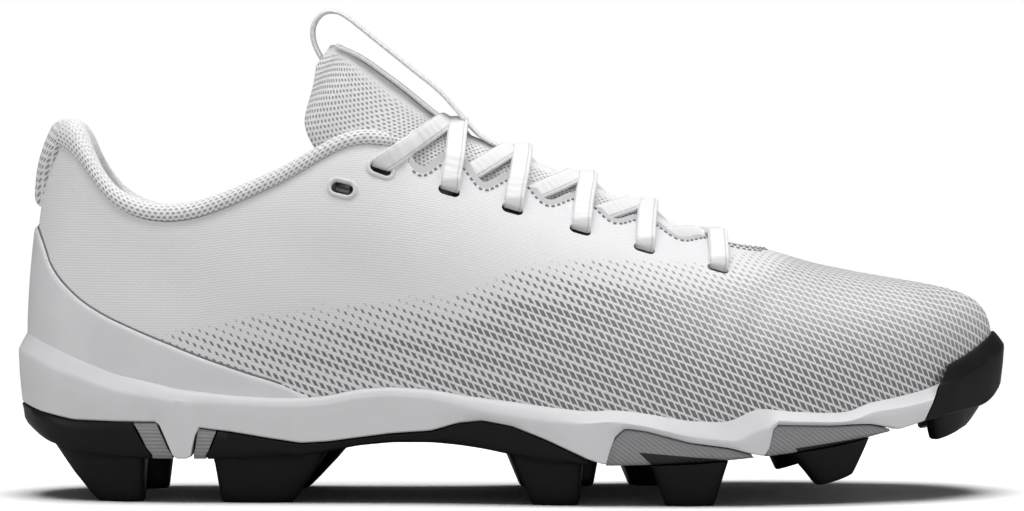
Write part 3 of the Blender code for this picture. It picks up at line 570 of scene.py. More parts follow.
def join(name, parts, smooth=None):
    """Several meshes as one piece."""
    bpy.ops.object.select_all(action="DESELECT")
    for part in parts:
        part.select_set(True)
    bpy.context.view_layer.objects.active = parts[0]
    if len(parts) > 1:
        bpy.ops.object.join()
    piece = bpy.context.object
    piece.name = name
    piece.data.name = name
    if smooth:
        smooth_by(piece, smooth)
    return piece


def modify(piece, kind, **settings):
    """Add one modifier, set it and apply it."""
    choose(piece)
    modifier = piece.modifiers.new(kind.lower(), kind)
    for name, value in settings.items():
        setattr(modifier, name, value)
    bpy.ops.object.modifier_apply(modifier=modifier.name)


def unite(piece, others):
    """Fuse closed pieces into one body."""
    for other in others:
        modify(piece, "BOOLEAN", operation="UNION", solver="EXACT", object=other)
        bpy.data.objects.remove(other, do_unlink=True)


def smooth_by(piece, degrees):
    choose(piece)
    bpy.ops.object.shade_smooth_by_angle(angle=math.radians(degrees))


def dress(piece, slot, finish, *nodes):
    """Give a piece its finish and its place in the frame."""
    piece.data.materials.clear()
    piece.data.materials.append(finish)
    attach(piece, "root")
    if nodes:
        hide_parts(*nodes)
    return piece


def throat_stations(first, last, count):
    return [station(length * MM, "rim_along") for length in spread(first, last, count)]


def upper_stations():
    """Rows where the upper is worked out: close together at the throat's scallops."""
    back = spread(0.0, COLLAR_FRONT, 88)
    start = at("rim_along", COLLAR_FRONT) / MM
    throat = throat_stations(start, THROAT_END, 178)
    front = spread(throat[-1], float(TOE_TIP), 62)
    return back + throat[1:] + front[1:]


UPPER_STATIONS = upper_stations()
UPPER_ROWS = 34
CHART_MIDDLE = 8.0


def foot_run(side):
    """Length round the foot outline at each row, counted from the middle of the shoe."""
    run = {}
    middle = at("along", CHART_MIDDLE) / MM
    for step in (1, -1):
        total = middle
        last = foot_point(side, CHART_MIDDLE)
        for t in sorted((t for t in UPPER_STATIONS if (t - CHART_MIDDLE) * step >= 0.0), reverse=step < 0):
            place = foot_point(side, t)
            total += step * (place - last).xy.length / MM
            run[t] = total
            last = place
    return run


def upper_chart(side, t, shares, run):
    """Cloth coordinates in millimetres: along the shoe and up its side, meeting on the ridge."""
    full = {s: lengths_to([upper_point(s, t, v) for v in spread(0.0, 1.0, 24)])[-1] for s in SIDES}
    even = 0.5 * (full[LATERAL] + full[MEDIAL]) / full[side]
    points = [upper_point(side, t, v) for v in shares]
    wrap = run[t] - at("along", t) / MM
    chart = []
    for v, place, length in zip(shares, points, lengths_to(points)):
        fade = 1.0 if t < CHART_MIDDLE else (1.0 - v) ** 2
        chart.append((place.x / MM + wrap * fade, at("foot", t) / MM + length * even))
    return chart


def make_upper():
    halves = []
    for side in SIDES:
        run = foot_run(side)
        rings = []
        charts = []
        for t in UPPER_STATIONS:
            top = rim_share(side, t)
            shares = [top * share for share in spread(0.0, 1.0, UPPER_ROWS)]
            charts.append(upper_chart(side, t, shares, run))
            ring = []
            for v in shares:
                place = upper_point(side, t, v)
                rise = relief(side, t, v, place)
                seam = min(t, TOE_TIP - t) if v < NEAR_TOP or t < RIDGE_START else 0.0
                ring.append(over_upper(side, t, v, rise * min(1.0, seam)))
            rings.append(ring)
        halves.append(lay("upper_half", rings, cloth=charts))
    piece = join("upper_shell", halves)
    on_mesh((bpy.ops.mesh.remove_doubles, {"threshold": 2 * WELD}), TURNED_OUT)
    outer = max(piece.data.polygons, key=lambda face: -face.center.y)
    if outer.normal.y > 0.0:
        piece.data.flip_normals()
    modify(piece, "SOLIDIFY", thickness=WALL, offset=-1.0, use_even_offset=False)
    cutter = at_slots("slot_cutters", SLOTS, cutter_rings)
    modify(piece, "BOOLEAN", operation="DIFFERENCE", solver="EXACT", object=cutter)
    bpy.data.objects.remove(cutter, do_unlink=True)
    smooth_by(piece, 48)
    return piece


def slot_oval(side, slot, grow, out, count):
    """Points round a slot, grow outside its edge and out over the upper's face."""
    place, face, run, _, _ = SLOT_FRAMES[side, slot.name]
    rise = face.cross(run)
    straight = (SLOT_LENGTH - SLOT_WIDTH) / 2
    radius = SLOT_WIDTH / 2 + grow
    points = []
    for i in range(count):
        angle = 2 * math.pi * i / count
        a = radius * math.cos(angle) + math.copysign(straight, math.cos(angle))
        points.append(place + run * a + rise * (radius * math.sin(angle)) + face * out)
    return points


def at_slots(name, slots, make_rings, **settings):
    """One piece made of a form at each of the given slots, on both sides."""
    forms = []
    for side in SIDES:
        for slot in slots:
            forms.append(lay("slot_form", make_rings(side, slot), closed=True, **settings))
    return join(name, forms)


# Forms at the slots: ends of the cutter, foot of the rims in millimetres, depth and edges of the dark grounds
# that paint the shade inside the slots
CUTTER_ENDS = (-2.6 * WALL, 1.4 * WALL)
RIM_FOOT = -0.6
SLOT_FLOOR = -0.0014
FLOOR_RINGS = (0.0004, -0.0006, -0.0012)


def cutter_rings(side, slot):
    return [slot_oval(side, slot, 0.0, out, 20) for out in CUTTER_ENDS]


def rim_rings(side, slot):
    """Low oval welt round a slot."""
    rounded_top = [(0.05, 0.5 * slot.rim), (0.45, slot.rim), (0.95, 0.8 * slot.rim), (1.3, 0.1)]
    profile = [(0.02, RIM_FOOT)] + rounded_top + [(1.35, RIM_FOOT)]
    ovals = [slot_oval(side, slot, grow * MM, out * MM, 40) for grow, out in profile]
    rings = [list(ring) for ring in zip(*ovals)]
    return rings + rings[:1]


def shadow_floor_rings(side, slot):
    """Ground seen through a slot, inside the thickness of the wall: a dark sheet that paints the shade inside
    the slot.
    """
    return [slot_oval(side, slot, grow, SLOT_FLOOR, 24) for grow in FLOOR_RINGS]


BACKING_SHOW = 0.0031
BACKING_DEPTH = 0.0006
BACKING_THICKNESS = 0.0007
BACKING_FROM = -31.0
BACKING_TO = 76.0
BACKING_UNDER = 0.004
BACKING_NARROWS = 0.008
BACKING_SHRINK = 1.6


def make_backing():
    """Second layer under the throat's edge, showing as a band inside the scallops."""
    bands = []
    for side in SIDES:
        rings = []
        for t in throat_stations(BACKING_FROM, BACKING_TO, 150):
            speed = section_speed(side, t)
            edge = edge_share(side, t)
            x = at("rim_along", t)
            narrow = min(1.0, throat_half(x) / BACKING_NARROWS)
            top = edge + (BACKING_SHOW * narrow - notch(x, BACKING_SHRINK)) / speed
            low = rim_share(side, t) - BACKING_UNDER / speed
            shares = [low + (top - low) * f for f in spread(0.0, 1.0, 7)]
            rings.append([over_upper(side, t, v, -BACKING_DEPTH) for v in shares])
        band = lay("backing_half", rings)
        modify(band, "SOLIDIFY", thickness=BACKING_THICKNESS, offset=0.0)
        bands.append(band)
    return join("eyestay_backing", bands, smooth=40)


STITCH_INSET = 0.0007
STITCH_PITCH = 0.0019
STITCH_LENGTH = 0.0013
STITCH_HALF = 0.00038
STITCH_END = 76.4
SECOND_ROW = 0.0028
STITCH_ROWS = ((STITCH_INSET, -30.5), (STITCH_INSET + SECOND_ROW, 63.0))
BEAD_HEIGHT = 0.8
BEAD_RAISED = 0.35
BEAD = ((-0.5, 0.25), (-0.34, 0.9), (0.0, 1.0), (0.34, 0.9), (0.5, 0.25))


def stitch_line(side, inset, first, last):
    """Points and face directions along the scalloped edge."""
    line = []
    for t in throat_stations(first, last, 420):
        v = rim_share(side, t) - inset / section_speed(side, t)
        line.append((upper_point(side, t, v), upper_normal(side, t, v)))
    return line


def make_bead(place, run, face):
    side = run.cross(face).normalized()
    rings = []
    for f, swell in BEAD:
        ring = []
        for i in range(6):
            angle = math.pi * i / 3
            round_off = side * math.cos(angle) + face * (BEAD_HEIGHT * math.sin(angle) + BEAD_RAISED)
            ring.append(place + run * (f * STITCH_LENGTH) + round_off * (STITCH_HALF * swell))
        rings.append(ring)
    return lay("stitch", rings, closed=True)


def make_stitches():
    """Thread along the scallops, one bead for each stitch."""
    beads = []
    for side in SIDES:
        for inset, first in STITCH_ROWS:
            travelled = 0.0
            line = stitch_line(side, inset, first, STITCH_END - (inset - STITCH_INSET) / MM)
            for (near, face), (far, _) in zip(line, line[1:]):
                travelled += (far - near).length
                if travelled >= STITCH_PITCH:
                    travelled = 0.0
                    beads.append(make_bead(near, (far - near).normalized(), face))
    return join("throat_stitches", beads)


def near_rim(side, t, out, rise):
    """Point a given way out from the wall and up from the rim; below the rim it follows the wall."""
    v = 1.0 + min(0.0, rise) / section_speed(side, t)
    face = upper_normal(side, t, v)
    place = upper_point(side, t, v) + face * out
    if rise > 0.0:
        climb = upper_point(side, t, 1.0) - upper_point(side, t, 0.96)
        climb = (climb - face * face.dot(climb)).normalized()
        place += climb * rise
    return place


# Collar roll, at rows of the last: crest beside the heel, lower inner side, padding that thins forward
COLLAR_CREST = 0.0030
CREST_ROW = 0.8
CREST_REACH = 0.48
CREST_DIP = 0.18
CREST_DIP_REACH = 0.3
FAR_SINK = 0.0018
SINK_FROM = 0.5
SINK_FROM_OVER = 0.7
SINK_TO = 4.4
SINK_TO_OVER = 1.2
PAD_HEEL = 0.0072
PAD_LOSS = 0.0022
PAD_END = 0.35
SLIM_FROM = 3.6
SLIM_OVER = 1.6
TAPER_OVER = 0.4
TAPER_LEFT = 0.05
ROLL_SWELL = 0.0014
HEEL_SWELL = 0.0012
SKIRT = 0.024
SKIRT_DROP = 0.6


def bell(t, reach):
    return math.exp(-(t / reach) ** 2)


def collar_ring(side, t):
    """Padded roll over the rim and its lining inside the wall, as points out from the wall and up."""
    slim = max(0.0, min(1.0, (t - SLIM_FROM) / SLIM_OVER))
    taper = ease((COLLAR_END - t) / TAPER_OVER + TAPER_LEFT)
    pad = (PAD_HEEL - PAD_LOSS * slim) * (PAD_END + (1.0 - PAD_END) * taper)
    drop = heel_v(t)
    crest = COLLAR_CREST * (bell(t - CREST_ROW, CREST_REACH) - CREST_DIP * bell(t, CREST_DIP_REACH))
    sink = 0.0
    if side == MEDIAL:
        sink = FAR_SINK * ease((t - SINK_FROM) / SINK_FROM_OVER) * ease((SINK_TO - t) / SINK_TO_OVER)
    swell = ROLL_SWELL + HEEL_SWELL * min(1.0, 2.0 * drop / HEEL_V_DEPTH)
    skirt = -SKIRT - SKIRT_DROP * drop
    inside = -(WALL + GAP)
    hidden = [(inside, skirt), (inside, 0.5 * (skirt + GAP - drop)), (inside, GAP - drop)]
    shown = [
        (0.2 * swell, GAP - drop - 0.0003),
        (0.9 * swell, 0.0009 - 0.9 * drop - sink),
        (swell, 0.0026 - 0.5 * drop + 0.6 * crest - sink),
        (0.0002, 0.0046 * taper + crest - sink),
        (-0.0024, 0.0056 * taper + crest - sink),
        (-0.72 * pad, 0.0043 * taper + crest - sink),
        (-pad, 0.0012),
        (-pad - 0.0002, -0.006),
        (-0.80 * pad, -0.014),
        (inside - 0.0011, skirt),
    ]
    shown = smooth_path([Vector(point) for point in shown], 40)
    return [near_rim(side, t, out, rise) for out, rise in hidden + [tuple(point) for point in shown]]


def round_heel(last, count):
    """Sides and rows from the outer side's row last round the heel to the inner side's."""
    stations = spread(0.0, last, count)
    return [(LATERAL, t) for t in reversed(stations)] + [(MEDIAL, t) for t in stations[1:]]


def make_collar():
    rings = [collar_ring(side, t) for side, t in round_heel(COLLAR_END, 96)]
    return lay("collar_roll", rings, closed=True, smooth=60)


COUNTER_TUCK = 0.001
COUNTER_LEAST = 0.0004
COUNTER_ROLL = 0.0014
COUNTER_STEPS = [0.0, 0.05] + spread(0.1, 0.9, 9) + [0.94, 0.975, 0.99, 1.0]


def counter_top(t):
    return soft_graph(COUNTER, "height", at("along", t), 0.004)


def make_counter():
    """Moulded overlay between the cup and the counter line, with a rolled edge."""
    rings = []
    for side, t in round_heel(station(COUNTER[-1].along * MM), 80):
        low = soft_graph(SOLE, "cup", at("along", t), 0.003) - COUNTER_TUCK
        high = max(counter_top(t), low + COUNTER_LEAST)
        v_low = height_on_upper(side, t, low)
        v_high = height_on_upper(side, t, high)
        span = (upper_point(side, t, v_high) - upper_point(side, t, v_low)).length
        inner = []
        outer = []
        for f in COUNTER_STEPS:
            v = v_low + (v_high - v_low) * f
            rolled = min(1.0, (1.0 - f) * span / COUNTER_ROLL)
            lift = GAP + COUNTER_THICKNESS * math.sqrt(max(0.0, 1.0 - (1.0 - rolled) ** 2))
            inner.append(over_upper(side, t, v, 0.6 * GAP))
            outer.append(over_upper(side, t, v, lift))
        rings.append(inner[:-1] + list(reversed(outer)))
    return lay("counter_shell", rings, closed=True, smooth=60)


SHADOW_LINE_HALF = 0.0003


def make_counter_shadow_line():
    """Fine dark line where the counter's top edge meets the cloth: a painted shadow of the gap under the
    edge.
    """
    rings = []
    for side, t in round_heel(station(COUNTER[-2].along * MM), 110):
        v = height_on_upper(side, t, counter_top(t))
        face = upper_normal(side, t, v)
        rise = (upper_point(side, t, v + 0.01) - upper_point(side, t, v)).normalized()
        place = upper_point(side, t, v) + rise * SHADOW_LINE_HALF
        ring = []
        for i in range(6):
            angle = math.pi * i / 3
            ring.append(place + (rise * math.cos(angle) + face * math.sin(angle)) * SHADOW_LINE_HALF)
        rings.append(ring)
    return lay("counter_seam", rings, closed=True)


CUP_LIP = GAP + 0.0004
BEVEL_STEPS = (0.08, 0.2, 0.4, 0.65, 0.88)
BEVEL_LOWEST = 0.3
CUP_LEAST = 0.0012
SEAM_ROUND = 0.0004
HAIR = 0.0001


def cup_half(side, t, top, bevel, form, seam):
    """One side of a cup section: pocket for the upper, lip, bevel, side wall and underside."""
    foot = foot_point(side, t).z
    wall = bevel - seam
    steps = [(foot - GAP, GAP), (0.5 * (foot + top), GAP), (top - 2 * HAIR, GAP), (top, CUP_LIP)]
    for down in BEVEL_STEPS:
        steps.append((top + down * (bevel - top), CUP_LIP + down ** form * (CUP_BASE - CUP_LIP)))
    steps += [
        (bevel + 0.02 * wall, CUP_BASE - HAIR),
        (bevel - 0.08 * wall, CUP_BASE),
        (0.5 * (bevel + seam), CUP_BASE - HAIR),
        (seam + SEAM_ROUND, CUP_BASE - SEAM_ROUND),
        (seam, CUP_BASE - 2 * SEAM_ROUND),
        (seam, LEDGE),
        (min(seam, foot - FOOTBED) - HAIR, LEDGE / 2),
    ]
    return [shell_point(side, t, z, out) for z, out in steps]


def cup_ring(x, cup, drop, form, seam):
    t = station(x)
    halves = []
    for side in SIDES:
        top = max(cup, foot_point(side, t).z + CUP_LEAST)
        bevel = max(top - drop, seam + BEVEL_LOWEST * (top - seam))
        halves.append(cup_half(side, t, top, bevel, form, seam))
    return halves[0] + list(reversed(halves[1]))


SOLE_STEP = 0.0005
SOLE_PITCH = 0.0013
HEEL_ROUND_TO = 1.6
TOE_ROUND_FROM = 13.4
SEAM_SOFT = 0.0006
BASE_SOFT = 0.002
CUP_SOFT = 0.0024
BEVEL_SOFT = 0.006
CUP_END = 136.0
BUMPER_DROP = 0.0042
BUMPER_FORM = 0.8


def sole_lengths(start, end):
    """Lengths where the sole is worked out: even steps, closer round the heel and toe."""
    lengths = set(spread(start, end, max(2, int((end - start) / SOLE_PITCH))))
    lengths |= {at("along", t) for t in spread(0.0, HEEL_ROUND_TO, 34)}
    lengths |= {at("along", t) for t in spread(TOE_ROUND_FROM, float(TOE_TIP), 34)}
    chosen = [start]
    for x in sorted(lengths):
        if x > chosen[-1] + SOLE_STEP and x < end - SOLE_STEP:
            chosen.append(x)
    return chosen + [end]


def part_by_plane(piece, keep_front):
    """Part a solid along the slanted plane behind the toe bumper."""
    shift = GAP / 2 if keep_front else -GAP / 2
    normal = Vector((1.0, 0.0, -PARTING_LEAN)).normalized()
    place = Vector((PARTING_ALONG * MM, 0.0, PARTING_HEIGHT * MM)) + normal * shift
    cut = {"plane_co": place, "plane_no": normal, "use_fill": True}
    cut.update(clear_inner=keep_front, clear_outer=not keep_front)
    choose(piece)
    on_mesh((bpy.ops.mesh.bisect, cut), TURNED_OUT)


def make_cup():
    rings = []
    for x in sole_lengths(SOLE[0].along * MM, CUP_END * MM):
        cup = soft_graph(SOLE, "cup", x, CUP_SOFT)
        seam = soft_graph(SOLE, "seam", x, SEAM_SOFT)
        drop = soft_graph(BEVEL, "drop", x, BEVEL_SOFT)
        rings.append(cup_ring(x, cup, drop, graph(BEVEL, "form", x), seam))
    piece = lay("cup_sole", rings, closed=True)
    part_by_plane(piece, False)
    smooth_by(piece, 32)
    return piece


def studs_of(node):
    return [make_stud(stud, STUD_ROOT) for stud in STUDS if stud.joins == node]


def make_bumper():
    start = BUMPER_START * MM
    end = SOLE[-1].along * MM
    rings = []
    for x in sole_lengths(start, end):
        f = (x - start) / (end - start)
        top = (BUMPER_BACK + (BUMPER_TIP - BUMPER_BACK) * f * f) * MM
        base = soft_graph(SOLE, "base", x, BASE_SOFT)
        rings.append(cup_ring(x, top, BUMPER_DROP, BUMPER_FORM, base))
    piece = lay("bumper_rubber", rings, closed=True)
    part_by_plane(piece, True)
    unite(piece, studs_of("toe_bumper"))
    smooth_by(piece, 38)
    return piece


BLACK_INSET = 0.0004
GREY_INSET = 0.0009
RUBBER_LEAST = 0.0008
CEILING_LEAST = 0.0006
RUBBER_ROUND = 0.0012
RUBBER_STEP = 1.2


def rubber_ring(piece, f):
    """Section of a rubber piece at the share f of its run, from its ledge under the cup to its underside."""
    top_x = (piece.top_from + f * (piece.top_to - piece.top_from)) * MM
    base_x = (piece.base_from + f * (piece.base_to - piece.base_from)) * MM
    base = soft_graph(SOLE, "base", base_x, BASE_SOFT)
    top = max(soft_graph(SOLE, "seam", top_x, SEAM_SOFT) - GAP, base + RUBBER_LEAST)
    upper_t = station(top_x)
    lower_t = station(base_x)
    ceiling = min(top, at("foot", upper_t) - FOOTBED - GAP) - HAIR
    ceiling = max(ceiling, base + CEILING_LEAST)
    face = CUP_BASE - (BLACK_INSET if piece.slot == "black" else GREY_INSET)
    rounding = min(RUBBER_ROUND, 0.3 * (top - base))
    halves = []
    for side in SIDES:
        steps = [
            (upper_t, ceiling, LEDGE / 2),
            (upper_t, ceiling, LEDGE + 0.5 * GAP),
            (upper_t, top, LEDGE + GAP),
            (upper_t, top, face - 0.0005),
            (upper_t, top - 0.0004, face),
        ]
        for g in (0.3, 0.5, 0.7):
            steps.append((upper_t + (lower_t - upper_t) * g, top + g * (base - top), face - 0.0008 * g))
        steps += [
            (lower_t, base + rounding, face - 0.0010),
            (lower_t, base + 0.3 * rounding, face - 0.0014),
            (lower_t, base, face - 0.0024),
        ]
        halves.append([shell_point(side, t, z, out) for t, z, out in steps])
    return halves[0] + list(reversed(halves[1]))


def make_rubber():
    made = {}
    for row in RUBBER:
        count = max(7, int((row.top_to - row.top_from) / RUBBER_STEP))
        shares = spread(0.0, 1.0, count)
        if row.node == "outsole_heel":
            shares = [f * f for f in shares]
        piece = lay(row.node + "_rubber", [rubber_ring(row, f) for f in shares], closed=True)
        unite(piece, studs_of(row.node))
        smooth_by(piece, 58)
        made[row.node] = piece
    return made


# Form of a stud: inset and rounding of its outer edge, taper toward the tip, ends narrower than its middle
STUD_INSET = 0.0019
STUD_EDGE_ROUND = 0.002
STUD_TAPER = 0.3
STUD_END = 0.12
STUD_END_REACH = 0.45
STUD_CORNER = 0.38
STUD_POINTS = 40
JOINED_LEVELS = ((0.0, 0.5), (0.12, 0.15), (0.25, 0.0), (0.5, 0.0), (0.8, 0.0), (0.95, -0.05), (1.0, -0.45))
LOOSE_LEVELS = ((0.0, 0.0), (0.3, 0.0), (0.6, 0.0), (0.85, 0.0), (0.96, -0.05), (1.0, -0.45))


def stud_point(stud, level, f, w, root, grow):
    """Point of a stud: f along it, w from its outer to its inner edge, grow outside its plain form."""
    start = (stud.start + stud.rear * level) * MM - grow
    end = (stud.end - stud.front * level) * MM + grow
    x = start + f * (end - start)
    t = station(x)
    swell = math.sin(math.pi * (STUD_END + (1.0 - 2 * STUD_END) * f))
    edge = CUP_BASE - STUD_INSET - STUD_DRAFT * level - STUD_EDGE_ROUND * (1.0 - swell) + grow
    end_share = STUD_END_REACH + (1.0 - STUD_END_REACH) * swell
    reach = stud.reach * MM * (1.0 - STUD_TAPER * level) * end_share + 2 * grow
    place = foot_point(stud.side, t) + outward(stud.side, t) * (edge - w * reach)
    base = graph(SOLE, "base", place.x) + root
    place.z = base + level * ((stud.foot + f * stud.rise) * MM - base)
    return place


def rounded(share):
    """Share of a circle pressed out toward a rectangle with round corners."""
    return math.copysign(abs(share) ** STUD_CORNER, share)


def make_stud(stud, root):
    """Tapered blade that follows the edge of the sole, with rounded corners, a root fillet and a soft tip."""
    rings = []
    for level, grow in JOINED_LEVELS if stud.joins else LOOSE_LEVELS:
        ring = []
        for i in range(STUD_POINTS):
            angle = 2 * math.pi * i / STUD_POINTS
            f, w = [0.5 + 0.5 * rounded(side) for side in (math.cos(angle), math.sin(angle))]
            ring.append(stud_point(stud, level, f, w, root, grow * MM))
        rings.append(ring)
    return lay(stud.name + "_rubber", rings, closed=True, smooth=38)


INSOLE_HEEL = -141.0
INSOLE_LENGTH = 281.5
INSOLE_EDGE = ((0.0, 0.0), (0.6, 0.0), (0.9, -0.0003), (1.0, -0.0012))
INSOLE_DISH = 0.0009


def make_insole():
    rings = []
    inset = WALL + 2 * GAP
    for f in spread(0.0, 1.0, 70):
        x = (INSOLE_HEEL + INSOLE_LENGTH * (0.5 - 0.5 * math.cos(math.pi * f))) * MM
        t = station(x)
        foot = at("foot", t)
        halves = []
        for side in SIDES:
            steps = [(foot + share * INSOLE_THICKNESS, out - inset) for share, out in INSOLE_EDGE]
            halves.append([shell_point(side, t, z, out) for z, out in steps])
        low, high = halves[0][-1], halves[1][-1]
        across = spread(0.0, 1.0, 14)[1:-1]
        top = [low.lerp(high, g) - UP * (INSOLE_DISH * math.sin(math.pi * g)) for g in across]
        rings.append(halves[0] + top + list(reversed(halves[1])))
    return lay("insole_liner", rings, closed=True, smooth=50)


TONGUE_COLUMNS = {
    name: extend([getattr(row, name) * MM for row in TONGUE]) for name in ("along", "height", "half", "fall")
}
TONGUE_LAST = len(TONGUE) - 1.0
TONGUE_TOP_THIN = 0.25
TONGUE_TOE_THIN = 0.4
TONGUE_TOP_OVER = 0.5
TONGUE_TOE_OVER = 0.4
TONGUE_EDGE_FORM = 5


def tongue_at(name, s):
    return spline(TONGUE_COLUMNS[name], s)


def tongue_point(s, c, depth=0.0):
    """Outer face of the tongue at row s, c from edge to edge; depth goes in toward the foot."""
    step = 0.05
    x = tongue_at("along", s)
    dx = tongue_at("along", s + step) - tongue_at("along", s - step)
    dz = tongue_at("height", s + step) - tongue_at("height", s - step)
    normal = Vector((dz, 0.0, -dx)).normalized()
    half = tongue_at("half", s)
    fall = tongue_at("fall", s)
    across = Vector((0.0, 1.0, 0.0))
    point = Vector((x, centre(x), tongue_at("height", s))) + across * (half * c) - normal * (fall * c * c)
    lean = math.atan2(2.0 * fall * c, half)
    return point - (normal * math.cos(lean) + across * math.sin(lean)) * depth


def tongue_normal(s, c):
    step = 0.001
    return (tongue_point(s, c, -step) - tongue_point(s, c)).normalized()


def make_tongue():
    """Padded tongue, thinner toward its soft edges and its two ends."""
    rings = []
    shares = [math.sin(0.5 * math.pi * f) for f in spread(-1.0, 1.0, 41)]
    for s in spread(0.0, TONGUE_LAST, 96):
        top_end = (TONGUE_LAST - s) / TONGUE_TOP_OVER + TONGUE_TOP_THIN
        end = min(1.0, top_end, s / TONGUE_TOE_OVER + TONGUE_TOE_THIN)
        outer = []
        inner = []
        for c in shares:
            thick = TONGUE_THICKNESS * end * (1.0 - abs(c) ** TONGUE_EDGE_FORM) ** 0.5
            middle = 0.5 * TONGUE_THICKNESS
            outer.append(tongue_point(s, c, middle - 0.5 * thick))
            inner.append(tongue_point(s, c, middle + 0.5 * thick))
        rings.append(outer + list(reversed(inner[1:-1])))
    return lay("tongue_pad", rings, closed=True, smooth=70)


STRAP_SECTION = [
    (-1.0, 0.0), (-0.95, 0.62), (-0.82, 0.96), (-0.4, 1.0), (0.4, 1.0), (0.82, 0.96), (0.95, 0.62),
    (1.0, 0.0), (0.95, -0.62), (0.82, -0.96), (-0.82, -0.96), (-0.95, -0.62),
]


def run_at(path, i):
    """Direction of a path at its point i, from its neighbours."""
    return path[min(i + 1, len(path) - 1)] - path[max(i - 1, 0)]


def strap(name, path, normals, width, thickness, count):
    """Flat strap whose middle follows a smooth path, facing along the normals."""
    path = smooth_path(path, count)
    normals = smooth_path(normals, count)
    rings = []
    for i, place in enumerate(path):
        run = run_at(path, i)
        side = run.cross(normals[i]).normalized()
        face = side.cross(run).normalized()
        rings.append([place + side * (a * width / 2) + face * (b * thickness / 2) for a, b in STRAP_SECTION])
    return lay(name, rings, closed=True, smooth=50)


LEG_TUCK = 0.0014
LEG_TUCK_FROM = 7.6
LEG_TUCK_OVER = 1.2
LEG_RAISED = 0.0004


def make_loop():
    """Ribbon loop over the tongue's top and its inner leg, which lies down the tongue to a fold."""
    rows = [Vector((row.along * MM, 0.0, row.height * MM)) for row in PULL_LOOP]
    normals = []
    for i, place in enumerate(rows):
        place.y = centre(place.x)
        run = run_at(rows, i)
        normals.append(Vector((-run.z, 0.0, run.x)).normalized())
    loop = strap("ribbon_outer", rows, normals, RIBBON_WIDTH, RIBBON_THICKNESS, 90)
    path = []
    facing = []
    for s in spread(RIBBON_LEG_TO, RIBBON_LEG_FROM, 12):
        path.append(tongue_point(s, 0.0, LEG_TUCK * ease((s - LEG_TUCK_FROM) / LEG_TUCK_OVER) - LEG_RAISED))
        facing.append(tongue_normal(s, 0.0))
    leg = strap("ribbon_inner", path, facing, RIBBON_WIDTH, RIBBON_THICKNESS, 50)
    return join("ribbon_loop", [loop, leg])


def tongue_row_at(x):
    return solve(lambda s: -tongue_at("along", s), -x, 0.0, TONGUE_LAST)


LACE_UP = 0.0015
SLOT_CLIMB = ((-0.0062, 0.0002), (-0.0026, 0.0), (0.0002, 0.0001))
SIDE_SHARES = (0.06, 0.34, 0.67, 1.0)
SLOT_CLEAR = 0.03


def from_slot(side, slot):
    """Points where a lace comes up through its slot, from inside the wall."""
    place, out, run, _, _ = SLOT_FRAMES[side, slot.name]
    up = out.cross(run) * -side
    place = place + up * LACE_UP
    points = [place + out * outside + up * above for outside, above in SLOT_CLIMB]
    normals = [-up, -up, (out - up).normalized()]
    return points, normals


def lace_side(side, slot):
    """Points from a slot over the eyestay to the throat's edge above it."""
    _, _, _, t, v = SLOT_FRAMES[side, slot.name]
    points, normals = from_slot(side, slot)
    edge = edge_share(side, t)
    for f in SIDE_SHARES:
        w = v + SLOT_CLEAR + (edge - v - SLOT_CLEAR) * f
        points.append(over_upper(side, t, w, LACE_LIFT + f * LACE_RISE + LACE_THICKNESS / 2))
        normals.append(upper_normal(side, t, w))
    return points, normals


def lace_crown(x, c, lift):
    s = solve(lambda row: -tongue_point(row, c).x, -x, 0.0, TONGUE_LAST)
    place = tongue_point(s, c, -(lift + LACE_THICKNESS / 2))
    return place, tongue_normal(s, c)


def taut(points):
    """Upper hull of points in a cross section, as a lace pulled tight over them lies."""
    hull = []
    for point in points:
        while len(hull) > 1:
            last, before = hull[-1], hull[-2]
            turn = (last.y - before.y) * (point.z - before.z) - (last.z - before.z) * (point.y - before.y)
            if turn < 0.0:
                break
            hull.pop()
        hull.append(point)
    return hull


def even_steps(points, step):
    """Points along straight lines between the given ones, close to even steps apart."""
    path = [points[0]]
    for near, far in zip(points, points[1:]):
        count = max(1, round((far - near).length / step))
        path += [near.lerp(far, (i + 1) / count) for i in range(count)]
    return path


BAR_CROWN = (-0.6, -0.4, -0.2, 0.0, 0.2, 0.4, 0.6)
BAR_STEP = 0.0026
IN_SLOT = len(SLOT_CLIMB)


def throat_share(x):
    """Share of the tongue's half width that shows in the throat at the length x."""
    return throat_half(x) / tongue_at("half", tongue_row_at(x))


def bar_path(slot):
    """From slot to slot straight over the tongue, pulled tight."""
    path, normals = lace_side(LATERAL, slot)
    far, far_normals = [list(reversed(row)) for row in lace_side(MEDIAL, slot)]
    x = slot.along * MM
    edge = throat_share(x)
    crown = [lace_crown(x, c * edge, BAR_LIFT)[0] for c in BAR_CROWN]
    over = even_steps(taut(path[IN_SLOT:] + crown + far[:-IN_SLOT]), BAR_STEP)
    facing = []
    for i in range(len(over)):
        run = run_at(over, i)
        facing.append(Vector((0.0, -run.z, run.y)).normalized())
    path = path[:IN_SLOT] + over + far[-IN_SLOT:]
    return path, normals[:IN_SLOT] + facing + far_normals[-IN_SLOT:]


def crown_spot(side, x, z):
    """Place and normal of a lace on one side of the tongue at a given length and height."""
    c = solve(lambda share: -lace_crown(x, side * share, 0.0)[0].z, -z, 0.0, 1.0)
    return lace_crown(x, side * c, LACE_LIFT)


def upper_spot(side, x, z):
    """Middle of a lace that lies on one side of the upper at a given length and height."""
    t = station(x, "rim_along")
    return over_upper(side, t, height_on_upper(side, t, z), LACE_LIFT + LACE_THICKNESS / 2)


